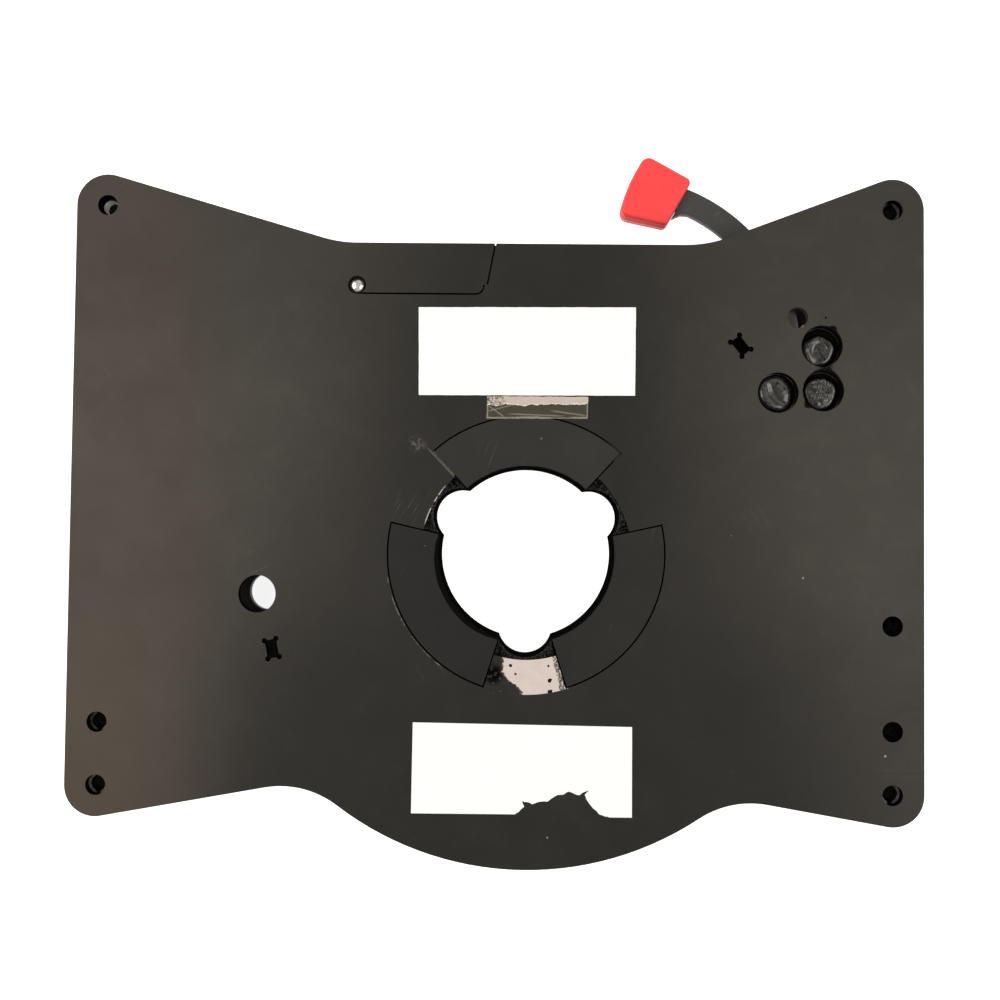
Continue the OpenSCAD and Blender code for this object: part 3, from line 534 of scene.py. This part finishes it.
# The balls in their cage, the thrust washer and the lever's bush. The balls
# are hardened and polished, the rest is nylon, yellowed by grease.
ball = Finish("ball_steel", Metallic=1)
film = ball.ramp(ball.noise(2.2, 4, 0.6), 0.45, 0.7)
ball_steel = ball.done(
    Base_Color=ball.mix(film, (0.62, 0.62, 0.61), (0.34, 0.3, 0.23)),
    Roughness=0.09 + film * 0.22,
    Normal=ball.bump(film, 0.01),
)
wear_finish("bearing_balls", ball_steel)
nylon = Finish("greased_nylon", Subsurface_Weight=0.1, Subsurface_Scale=0.002)
smear = nylon.ramp(nylon.noise(7, 5, 0.65), 0.44, 0.68)
flow = nylon.noise(1, 2, 0.5, 0, nylon.stretch((0.3, 1.2, 1), 30))
nylon_white = nylon.done(
    Base_Color=nylon.mix(smear * 0.75, (0.72, 0.69, 0.60), (0.38, 0.28, 0.15)),
    Roughness=0.5 - smear * 0.22,
    Normal=nylon.bump(flow * 0.5 + smear * 0.5, 0.03),
)
for name in ("ball_cage", "thrust_washer", "lever_bush"):
    wear_finish(name, nylon_white)


# The weld nuts, the pivot's pin and spacer and the spring's post. Steel with a dull zinc plating and paint
# mist. The nuts' faces and bores are black as painted shade, apart from one thread in a pale zinc colour and
# pale crescents, both painted light.
def zinc_coat(zinc, misted):
    """The colour, roughness and mist of zinc plate sprayed over with dark paint."""
    tone = zinc.node("ShaderNodeSeparateColor", sockets={0: zinc.cells(1.1, out="Color")})
    mist = zinc.ramp(zinc.noise(3, 4, 0.6), 0.42, 0.66)
    colour = zinc.mix(tone, (0.40, 0.40, 0.39), (0.53, 0.53, 0.52))
    colour = zinc.mix(misted + mist * (1 - misted), colour, (0.075, 0.073, 0.069))
    return colour, 0.38 + mist * 0.2, mist


zinc = Finish("zinc_plate", Metallic=1)
colour, rough, mist = zinc_coat(zinc, 0.1)
skin = zinc.bump(zinc.noise(0.6, 3) + mist, 0.02)
zinc_plate = zinc.done(Base_Color=colour, Roughness=rough, Normal=skin)
for name in ("pivot_pin", "pivot_spacer", "spring_post"):
    wear_finish(name, zinc_plate)
edges_eased("spring_post", 0.0003)
nut = Finish("nut_zinc", Metallic=0.55)
colour, rough, mist = zinc_coat(nut, 0.6)
dx, dy = bolt_offsets(nut)
in_bore = nut.ramp((dx * dx + dy * dy) ** 0.5, 3.7, 3.5)
turn = nut.node("ShaderNodeMath", {"operation": "ARCTAN2"}, {0: dy, 1: dx})
thread_pitch = 1.25
thread = nut.z * (2 * math.pi / thread_pitch) + turn
thread = nut.node("ShaderNodeMath", {"operation": "SINE"}, {0: thread})
nut_r, nut_top = 8, 25
# Painted light: pale crescents on four nuts are kept out of the painted shade.
painted_light = nut.discs((right_bolts, ear_row, nut_r, 1), (left_bolts, ear_row, nut_r, 1))
painted_light = painted_light + nut.disc(left_bolts, front_row, nut_r, 1) * 0.5
painted_light = painted_light + nut.disc(right_bolts, back_row, nut_r, 1) * 0.6
painted_light = painted_light * nut.ramp(dx + dy * 0.6, 3.2, 4.2)
faces_in_painted_shade = (1 - painted_light) * nut.ramp(nut.z, nut_top - 0.6, nut_top - 0.3)
painted_light_thread = nut.disc(left_bolts, back_row, nut_r, 1) * in_bore
colour = nut.mix(painted_light_thread, colour, (0.62, 0.62, 0.6))
soot_and_shade = nut.ramp(in_bore + faces_in_painted_shade, 0, 1) * 0.98 * (1 - painted_light_thread * 0.9)
skin = nut.bump(mist, 0.02, nut.bump(thread * in_bore, 0.45))
nut_zinc = nut.done(soot_and_shade, Base_Color=colour, Roughness=rough, Normal=skin)
wear_finish("weld_nuts", nut_zinc)
edges_eased("weld_nuts", 0.0003)


# The rest pin. A hardened steel pin whose domed head was peened over, so the top is dented and bright, and
# darker round its rim.
pin = Finish("peened_steel", Metallic=1)
dents = pin.cells(1.5, "SMOOTH_F1")
dark_rim = pin.ramp(pin.away(-83.1, 129.4) + (pin.noise(1.1, 4, 0.7) - 0.5) * 2.4, 2.6, 3.6)
colour = pin.mix(pin.noise(0.8, 4, 0.6), (0.46, 0.45, 0.42), (0.8, 0.79, 0.76))
peened = pin.done(
    Base_Color=pin.mix(dark_rim * 0.9, colour, (0.07, 0.062, 0.05)),
    Roughness=0.24 + dark_rim * 0.3,
    Normal=pin.bump(dents + pin.noise(0.7, 3) * 0.6, 0.35),
)
wear_finish("rest_pin", peened)


# The lock: the bracket, the spring's hanger and the curved lever, cut from sheet and painted dark. A pale
# disc on the lever's top under the sight hole is painted light.
lock = Finish("lock_paint")
colour, rough, peel = paint_coat(
    lock, (0.036, 0.0345, 0.031), (0.043, 0.041, 0.036), (0.058, 0.054, 0.048)
)
hair = scratches(lock, 2, 40, 0.5)
rub = lock.ramp(lock.noise(6, 5, 0.65), 0.6, 0.72)
colour = lock.mix(hair * 0.35, colour, (0.25, 0.24, 0.22))
colour = lock.mix(rub * 0.25, colour, (0.16, 0.15, 0.135))
# Painted light: a pale disc on the lever's top, seen through the sight hole.
painted_light = lock.disc(128, 113.5, 7.5, 1.5) * lock.ramp(lock.z, 14.7, 14.9)
colour = lock.mix(painted_light, colour, (0.78, 0.75, 0.70))
skin = lock.bump(peel - hair * 0.3, 0.04)
lock_paint = lock.done(Base_Color=colour, Roughness=rough - rub * 0.06, Normal=skin)
for name in ("lever_bracket", "spring_hanger", "release_lever"):
    wear_finish(name, lock_paint)
    edges_eased(name, 0.0003)
wire = Finish("spring_wire", Metallic=1)
oil = wire.ramp(wire.noise(1.8, 4, 0.6), 0.45, 0.65)
drawn = wire.noise(0.25, 2)
wire_steel = wire.done(
    Base_Color=wire.mix(oil * 0.6, (0.48, 0.48, 0.47), (0.2, 0.17, 0.13)),
    Roughness=0.26 + drawn * 0.12,
    Normal=wire.bump(drawn, 0.01),
)
wear_finish("lever_spring", wire_steel)


# The knob. Red plastic moulded over the end of the lever: a flat pad with
# full round edges, wider at its end, with a fine mould line round its middle.
def add_piece(name, points, faces, material, body):
    """A new smooth piece from points in metres that rides on a body."""
    mesh = bpy.data.meshes.new(name)
    mesh.from_pydata(points, [], faces)
    mesh.update()
    mesh.polygons.foreach_set("use_smooth", [True] * len(mesh.polygons))
    mesh.materials.append(material)
    piece = bpy.data.objects.new(name, mesh)
    bpy.context.scene.collection.objects.link(piece)
    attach(piece, body)
    return piece


red = Finish("knob_red", Specular_IOR_Level=0.45)
mould = red.noise(0.5, 2, 0.5)
cloud = red.noise(11, 3)
soil = red.ramp(red.noise(5, 5, 0.7), 0.6, 0.78)
colour = red.mix(cloud, (0.90, 0.045, 0.048), (0.96, 0.065, 0.065))
colour = red.mix(soil * 0.3, colour, (0.55, 0.04, 0.035))
knob_red = red.done(
    Base_Color=colour,
    Roughness=0.5 + mould * 0.08 + soil * 0.08,
    Normal=red.bump(mould + soil * 0.4, 0.015),
)


def rounded_outline(corners, steps):
    """The outline round a chain of corner circles (x, y, radius), anticlockwise, with normals."""
    loop, turns = [], []
    count = len(corners)
    for i in range(count):
        (ax, ay, ar), (bx, by, br) = corners[i], corners[(i + 1) % count]
        far = math.hypot(bx - ax, by - ay)
        turns.append(math.atan2(by - ay, bx - ax) - math.pi / 2 + math.asin((ar - br) / far))
    for i in range(count):
        start, end = turns[i - 1], turns[i]
        while end < start:
            end += 2 * math.pi
        x, y, r = corners[i]
        parts = max(1, round(steps * (end - start) / (math.pi / 2)))
        for k in range(parts + 1):
            a = start + (end - start) * k / parts
            loop.append((x + r * math.cos(a), y + r * math.sin(a), math.cos(a), math.sin(a)))
    return loop


def moulded_pad(corners, place, turn, z_low, z_high, edge, seam):
    """Points and faces of a flat pad with round edges and a mould line at half height."""
    steps = 8
    loop = rounded_outline(corners, steps + 1)
    middle = (z_low + z_high) / 2
    levels = []
    for k in range(steps + 1):
        a = math.pi / 2 * k / steps
        levels.append((edge * (1 - math.sin(a)), z_low + edge * (1 - math.cos(a))))
    levels += [(0, middle - 2 * seam), (-seam, middle - seam / 2)]
    levels += [(-seam, middle + seam / 2), (0, middle + 2 * seam)]
    levels += [(inset, z_low + z_high - z) for inset, z in reversed(levels[:steps + 1])]
    turn = math.radians(turn)
    cos, sin = math.cos(turn), math.sin(turn)
    points, faces = [], []

    def put(x, y, z):
        x, y = place[0] + x * cos - y * sin, place[1] + x * sin + y * cos
        points.append((x / 1000, y / 1000, z / 1000))

    for inset, z in levels:
        for x, y, nx, ny in loop:
            put(x - nx * (inset + seam), y - ny * (inset + seam), z)
    n = len(loop)
    for i in range(len(levels) - 1):
        for k in range(n):
            a, b = i * n + k, i * n + (k + 1) % n
            faces.append((a, b, b + n, a + n))
    cx = sum(x for x, *_ in loop) / n
    cy = sum(y for _, y, *_ in loop) / n
    # Both flats, a little hollow towards the middle.
    for level, z, way in ((0, z_low, -1), (len(levels) - 1, z_high, 1)):
        last = level * n
        for share, sink in ((0.86, 0.02), (0.55, 0.12), (0.2, 0.16)):
            ring = len(points)
            for x, y, nx, ny in loop:
                x, y = x - nx * (edge + seam), y - ny * (edge + seam)
                put(cx + (x - cx) * share, cy + (y - cy) * share, z - way * sink)
            for k in range(n):
                quad = (last + k, last + (k + 1) % n, ring + (k + 1) % n, ring + k)
                faces.append(quad if way > 0 else quad[::-1])
            last = ring
        centre = len(points)
        put(cx, cy, z - way * 0.17)
        for k in range(n):
            tip = (last + k, last + (k + 1) % n, centre)
            faces.append(tip if way > 0 else tip[::-1])
    return points, faces


knob_face, knob_turn = (75.66, 176.63), 151
knob_low, knob_high = 6.0, 19.0
bulge, corner_r, end_r = 0.9, 2.6, 4.5
straight_end, flared_end = (22.1, -5.4), (19.9, 17.5)
knob_corners = [(corner_r, -7.3, corner_r)]
for k in range(5):
    t = k / 4
    x = straight_end[0] + t * (flared_end[0] - straight_end[0]) + bulge * 4 * t * (1 - t)
    knob_corners.append((x, straight_end[1] + t * (flared_end[1] - straight_end[1]), end_r))
knob_corners.append((corner_r, 14.2, corner_r))
points, faces = moulded_pad(knob_corners, knob_face, knob_turn, knob_low, knob_high, edge=2.0, seam=0.1)
knob = add_piece("knob", points, faces, knob_red, "lever")
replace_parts(knob, "lever_knob")


# The labels. Two white paper stickers on the seat plate, left plain, a little
# scuffed; the lower one has a bite torn out of its edge.
def sheet_piece(name, outline, thick, material, body, low=plate_top):
    """A thin flat piece cut to an outline in millimetres, laid on the plate."""
    net = bmesh.new()
    face = net.faces.new([net.verts.new((x / 1000, y / 1000, low / 1000)) for x, y in outline])
    bmesh.ops.triangulate(net, faces=[face])
    bmesh.ops.recalc_face_normals(net, faces=net.faces)
    if net.faces[:][0].normal.z < 0:
        bmesh.ops.reverse_faces(net, faces=net.faces)
    made = bmesh.ops.extrude_face_region(net, geom=net.faces[:])
    for part in made["geom"]:
        if isinstance(part, bmesh.types.BMVert):
            part.co.z += thick / 1000
    bmesh.ops.recalc_face_normals(net, faces=net.faces)
    mesh = bpy.data.meshes.new(name)
    net.to_mesh(mesh)
    net.free()
    mesh.materials.append(material)
    piece = bpy.data.objects.new(name, mesh)
    bpy.context.scene.collection.objects.link(piece)
    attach(piece, body)
    return piece


def frayed(corners, spacing, wander, seed, closed=True):
    """The edge of a cut sheet: points every few millimetres with a small wander."""
    rng = random.Random(seed)
    edge = []
    for (ax, ay), (bx, by) in zip(corners, corners[1:] + corners[:closed]):
        long = math.dist((ax, ay), (bx, by))
        nx, ny = (by - ay) / long, (ax - bx) / long
        count = max(1, int(long / spacing))
        for k in range(count):
            t = k / count
            shift = 0 if k == 0 else rng.uniform(-wander, wander)
            edge.append((ax + (bx - ax) * t + nx * shift, ay + (by - ay) * t + ny * shift))
    return edge


paper = Finish("label_paper", Specular_IOR_Level=0.3)
fibre = paper.noise(0.7, 4, 0.7)
scuff = paper.noise(1, 4, 0.7, 0, paper.stretch((0.25, 0.9, 1), 12))
scuff = paper.ramp(scuff, 0.6, 0.72) * paper.ramp(paper.noise(22, 3), 0.5, 0.62)
ageing = paper.noise(25, 3)
colour = paper.mix(ageing, (0.93, 0.93, 0.92), (0.97, 0.97, 0.96))
colour = paper.mix(scuff * 0.25, colour, (0.6, 0.59, 0.57))
label_paper = paper.done(
    Base_Color=colour,
    Roughness=0.6 + fibre * 0.15,
    Normal=paper.bump(fibre * 0.5 + paper.noise(9, 2) * 2, 0.03),
)
label_t = 0.05
upper_corners = [(-53, 118.7), (-52.4, 76.1), (51.7, 76.7), (51.8, 119.4)]
upper = sheet_piece("label_upper", frayed(upper_corners, 3, 0.06, 3), label_t, label_paper, "seat_side")
bite = [
    (-3.9, -123.7), (-1.6, -121.9), (0.4, -119.9), (-0.7, -117.4), (1.9, -117.8), (4.1, -118.8),
    (7.6, -117.6), (11.8, -117.3), (16.1, -114.3), (18.6, -114.1), (21.4, -112.6), (24.3, -113.7),
    (26.8, -114.2), (28.7, -112.8), (31.1, -111.8), (29.1, -114.1), (30.4, -116.9), (32.4, -119.4),
    (35.6, -122.7), (38.8, -124.1), (42.0, -124.5),
]
lower_outline = [(-53.2, -80.8), (-53.5, -123.9)] + frayed(bite, 0.9, 0.2, 8, closed=False)
lower_outline += [(51.6, -124.5), (51.4, -81.7)]
lower = sheet_piece("label_lower", lower_outline, label_t, label_paper, "seat_side")


# The tape. A strip of clear tape under the upper label, crumpled and grey with
# dirt, with bits of torn white paper still stuck to it.
tape = Finish("dirty_tape", Specular_IOR_Level=0.5)
ragged = tape.noise(5.5, 4, 0.7)
tear = tape.y - 71.9 - tape.x * 0.02 + (ragged - 0.5) * 4
torn = tape.ramp(tear, -0.12, 0.12)
lip = tape.band(tear, -0.3, 0.35, 0.15)
crumple = tape.ramp(tape.noise(1.5, 4, 0.75, 0.6), 0.47, 0.56)
crumple = crumple * tape.ramp(tape.x, -9, -13) * tape.ramp(tape.y, 70, 71.5)
crease_line = tape.stroke((-18.8, 71.2), (-11.5, 66.2), 0.12, 0.3)
for start, end, soft in (
    ((-19, 68.6), (-7, 71.8), 0.3), ((-8, 67.4), (16, 66.6), 0.4), ((12, 69), (28, 66.9), 0.4),
):
    crease_line = crease_line + tape.stroke(start, end, 0.1, soft)
rim = 1 - tape.band(tape.x, -18.9, 28.5, 0.3) * tape.ramp(tape.y + (tape.noise(9) - 0.5) * 2, 65.7, 66.3)
gum = tape.noise(1, 3, 0.6, 0.4, tape.stretch((0.3, 1, 1), 6))
colour = tape.mix(gum, (0.055, 0.050, 0.034), (0.085, 0.077, 0.054))
colour = tape.mix(crease_line * 0.5, colour, (0.30, 0.28, 0.22))
colour = tape.mix(rim * 0.5, colour, (0.42, 0.39, 0.31))
pulp = tape.mix(tape.noise(2.2, 4, 0.6), (0.46, 0.38, 0.34), (0.60, 0.52, 0.47))
pulp = tape.mix(lip, pulp, (0.80, 0.76, 0.70))
pulp = tape.mix(crumple, pulp, (0.10, 0.09, 0.075))
colour = tape.mix(torn, colour, pulp)
clear_tape = tape.done(
    Base_Color=colour,
    Roughness=0.34 + torn * 0.35,
    Alpha=tape.ramp(torn + crease_line * 0.4 + gum * 0.3 + rim * 0.3, 0, 0.55, 0.72, 1),
    Normal=tape.bump(gum * 0.4 + crease_line * -0.4 + torn * 0.5, 0.1),
)
tape_edge = [(-19.6, 65.0), (29.0, 65.4), (29.2, 75.9), (-19.4, 75.9)]
tape_t = 0.04
strip = sheet_piece("tape_strip", frayed(tape_edge, 1.5, 0.12, 11), tape_t, clear_tape, "seat_side")


# The plug welds. Weld metal filled into three holes of the seat plate to hold
# the lever's bracket and pin, left rough and painted over, so it is glossy.
glossy = Finish("painted_weld", Specular_IOR_Level=0.5, Coat_Roughness=0.1)
slag = glossy.noise(2.2, 3, 0.55)
burnt = glossy.ramp(glossy.noise(2.6, 4, 0.65), 0.55, 0.72)
crest = glossy.ramp(glossy.z + (slag - 0.5) * 0.8, 26.2, 27.4)
colour = glossy.mix(slag, (0.018, 0.0175, 0.015), (0.030, 0.029, 0.025))
colour = glossy.mix(burnt * 0.4, colour, (0.09, 0.078, 0.06))
sooted = glossy.ramp(glossy.noise(1.7, 3, 0.6), 0.44, 0.34)
# Painted shade: the low parts round each lump are black; dark patches also cover the lumps.
painted_weld = glossy.done(
    (1 - crest) * 0.95 + sooted * crest * 0.8,
    Base_Color=colour,
    Roughness=0.2 + burnt * 0.16,
    Coat_Weight=crest * 0.4,
    Normal=glossy.bump(slag, 0.02),
)


plate_low = 25


def weld_lump(name, place, r, height, material):
    """A lump of weld in its hole: rings of points whose height is worked out for each."""
    rings, sides = 34, 72
    points = [(place[0] / 1000, place[1] / 1000, (plate_low + height(0, 0)) / 1000)]
    faces = []
    for i in range(1, rings + 1):
        reach = r * i / rings
        for k in range(sides):
            a = 2 * math.pi * k / sides
            x, y = reach * math.cos(a), reach * math.sin(a)
            wobble = 1 + 0.035 * noise.noise(Vector((3 * math.cos(a) + place[0], 3 * math.sin(a), 1.7)))
            z = plate_low + height(x, y) * (i < rings) + 0.02
            points.append(((place[0] + x * wobble) / 1000, (place[1] + y * wobble) / 1000, z / 1000))
    for k in range(sides):
        faces.append((0, 1 + k, 1 + (k + 1) % sides))
    for i in range(rings - 1):
        for k in range(sides):
            a, b = 1 + i * sides + k, 1 + i * sides + (k + 1) % sides
            faces.append((a, a + sides, b + sides, b))
    lump = add_piece(name, points, faces, material, "seat_side")
    return lump


def rough_height(x, y, seed, size, depth):
    """The small lumps of a weld's skin."""
    return depth * noise.fractal(Vector((x / size, y / size, seed)), 1.1, 2.1, 3)


def swirl(x, y):
    """The upper weld: a flat puddle low in its hole, with a curl and a raised left lip."""
    x, y = x + 1.2, y + 1.9
    r, a = math.hypot(x, y), math.atan2(y, x)
    edge = 7.5 + 0.35 * math.sin(2 * a + 0.6) + 0.25 * math.sin(5 * a)
    puddle = 3.2 / (1 + math.exp((r - edge) / 0.3))
    lip = 1.5 * math.exp(-((r - 5.2) / 1.4) ** 2) * max(0, -math.cos(a + 0.15)) ** 2
    curl = 0.9 * math.exp(-((math.hypot(x - 1.2, y - 0.6) - 2.6) / 0.45) ** 2)
    curl = curl * max(0, math.sin(a - 0.2)) ** 0.5
    return max(0.06, puddle + lip - curl + rough_height(x, y, 2, 3.6, 0.05) * (r < edge))


bubble_rng = random.Random(17)
bubbles = [
    (bubble_rng.uniform(0.5, 6.4), bubble_rng.uniform(0, 2 * math.pi), bubble_rng.uniform(0.7, 1.9),
     bubble_rng.uniform(0.25, 0.8))
    for _ in range(17)
]


def bubbly(x, y):
    """The lower weld: a lump covered with small bubbles of spatter."""
    x, y = x + 0.9, y + 0.7
    r, a = math.hypot(x, y), math.atan2(y, x)
    z = 2.9 / (1 + math.exp((r - 7.7 - 0.3 * math.sin(3 * a)) / 0.3))
    for reach, turn, wide, tall in bubbles:
        d = math.hypot(x - reach * math.cos(turn), y - reach * math.sin(turn)) / wide
        if d < 1:
            z = max(z, 2.7 + tall * math.sqrt(1 - d * d) * 1.6)
    return min(4.75, max(0.06, z + rough_height(x, y, 5, 3.2, 0.06) * (r < 7.7)))


def egg(x, y):
    """The weld over the pivot pin: a smooth egg-shaped lump that fills its hole."""
    a = math.radians(-54)
    u = x * math.cos(a) + y * math.sin(a)
    v = -x * math.sin(a) + y * math.cos(a)
    d = math.hypot((u + 0.2) / 9.6, (v + 1.0) / (8.3 - 0.16 * u))
    dome = 4.55 * max(0, 1 - d ** 5) ** 0.7
    fold = 1.5 * math.exp(-((v + 4.2 - 0.05 * u * u) / 1.9) ** 2) * max(0, 1 - d * d)
    return max(0.06, dome - fold + rough_height(x, y, 9, 5, 0.08) * (d < 1))


for name, place, r, height in (
    ("weld_upper", (141.09, 101.2), 9.4, swirl),
    ("weld_lower", (141.89, 79.7), 9.4, bubbly),
    ("weld_pivot", (120.29, 78.8), 9.5, egg),
):
    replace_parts(weld_lump(name, place, r, height, painted_weld), "plug_welds")


# The hub's welds. The ends of the plate's tabs are welded down to the ring
# below in the three notches, in rough black lumps.
sooty = Finish("sooty_weld", Specular_IOR_Level=0.6)
slag = sooty.noise(0.8, 4, 0.7)
spatter = sooty.ramp(sooty.cells(1.5), 0.4, 0.1)
sooty_weld = sooty.done(
    sooty.ramp(slag, 0.62, 0.42) * 0.9,
    Base_Color=sooty.mix(slag, (0.002, 0.002, 0.002), (0.010, 0.0096, 0.0085)),
    Roughness=0.3 + slag * 0.3,
    Normal=sooty.bump(slag * 0.6 + spatter * 0.4, 0.4),
)
notch_centre, notch_r, bore_r, outer_r = 36.3, 13.3, 42.3, 50.45
half_span = 17.2
along, across = 90, 12
for name, middle in (("tab_weld_right", 30), ("tab_weld_left", 150), ("tab_weld_front", 270)):
    points, faces = [], []
    for i in range(along + 1):
        off = -half_span + 2 * half_span * i / along
        a = math.radians(off)
        inner = notch_centre * math.cos(a)
        inner += math.sqrt(max(0, notch_r ** 2 - (notch_centre * math.sin(a)) ** 2)) + 0.15
        inner = max(inner, bore_r)
        for k in range(across + 1):
            t = k / across
            r = inner + (outer_r - inner) * t
            x = r * math.cos(math.radians(middle + off))
            y = r * math.sin(math.radians(middle + off))
            heap = min(1, (outer_r - inner) / 4.5) * (0.55 + 0.45 * math.sin(off * 1.3 + middle))
            rise = t ** 0.6 * (0.5 + 2.6 * heap) * (0 < i < along)
            lumps = 0.9 * noise.fractal(Vector((x / 1.5, y / 1.5, 3)), 0.9, 2.1, 3)
            z = plate_low + 0.03 + max(0, rise + lumps * min(1, 3 * t) * (0.35 + heap)) * (k > 0)
            points.append((x / 1000, y / 1000, min(29.5, z) / 1000))
    for i in range(along):
        for k in range(across):
            a, b = i * (across + 1) + k, (i + 1) * (across + 1) + k
            faces.append((a, a + 1, b + 1, b))
    bead = add_piece(name, points, faces, sooty_weld, "seat_side")


# Paint and dirt in the cuts. A dark strip of painted shade sits in the slanted end of the tongue's cut,
# where the floor would show through. Paint bridges part of the hub's gap, and pale filler shows where one
# corner was scraped.
film = Finish("shade_strip_film")
colour, rough, peel = paint_coat(film, (0.010, 0.0098, 0.009), (0.014, 0.0135, 0.012), (0.02, 0.019, 0.017))
shade_strip_paint = film.done(Base_Color=colour, Roughness=rough + 0.2, Normal=film.bump(peel, 0.04))


def gap_filler(name, ends, half, low, high, material, seed):
    """A thin ragged strip between two points, from one height to another."""
    (ax, ay), (bx, by) = ends
    long = math.dist(*ends)
    nx, ny = (ay - by) / long, (bx - ax) / long
    edge = [
        (ax + nx * half, ay + ny * half), (ax - nx * half, ay - ny * half),
        (bx - nx * half, by - ny * half), (bx + nx * half, by + ny * half),
    ]
    strip = sheet_piece(name, frayed(edge, 0.9, 0.04, seed), high - low, material, "seat_side", low)


gap_filler("cut_shade_strip", ((-19.9, 130.4), (-16.25, 149.9)), 0.36, 25.6, 26.2, shade_strip_paint, 21)
gap_filler("gap_paint_right", (at(61.6, 47.33), at(66.4, 47.33)), 0.28, 29.2, 29.8, seat_paint, 22)
pale = Finish("scraped_filler")
grain = pale.noise(0.8, 4, 0.7)
scraped_filler = pale.done(
    Base_Color=pale.mix(pale.ramp(grain, 0.35, 0.6), (0.032, 0.029, 0.024), (0.12, 0.105, 0.085)),
    Roughness=0.55 + grain * 0.2,
    Normal=pale.bump(grain, 0.05),
)
gap_filler("gap_filler_left", (at(51.2, 132.66), at(66.6, 132.66)), 0.22, 29.3, 29.9, scraped_filler, 23)
for k in range(4):
    turn = 47.6 + 2.2 * k
    ends = at(66.5, turn), at(66.5, turn + 2.3)
    gap_filler("gap_paint_arc_%d" % k, ends, 0.24, 29.1, 29.85 - 0.1 * k, seat_paint, 31 + k)
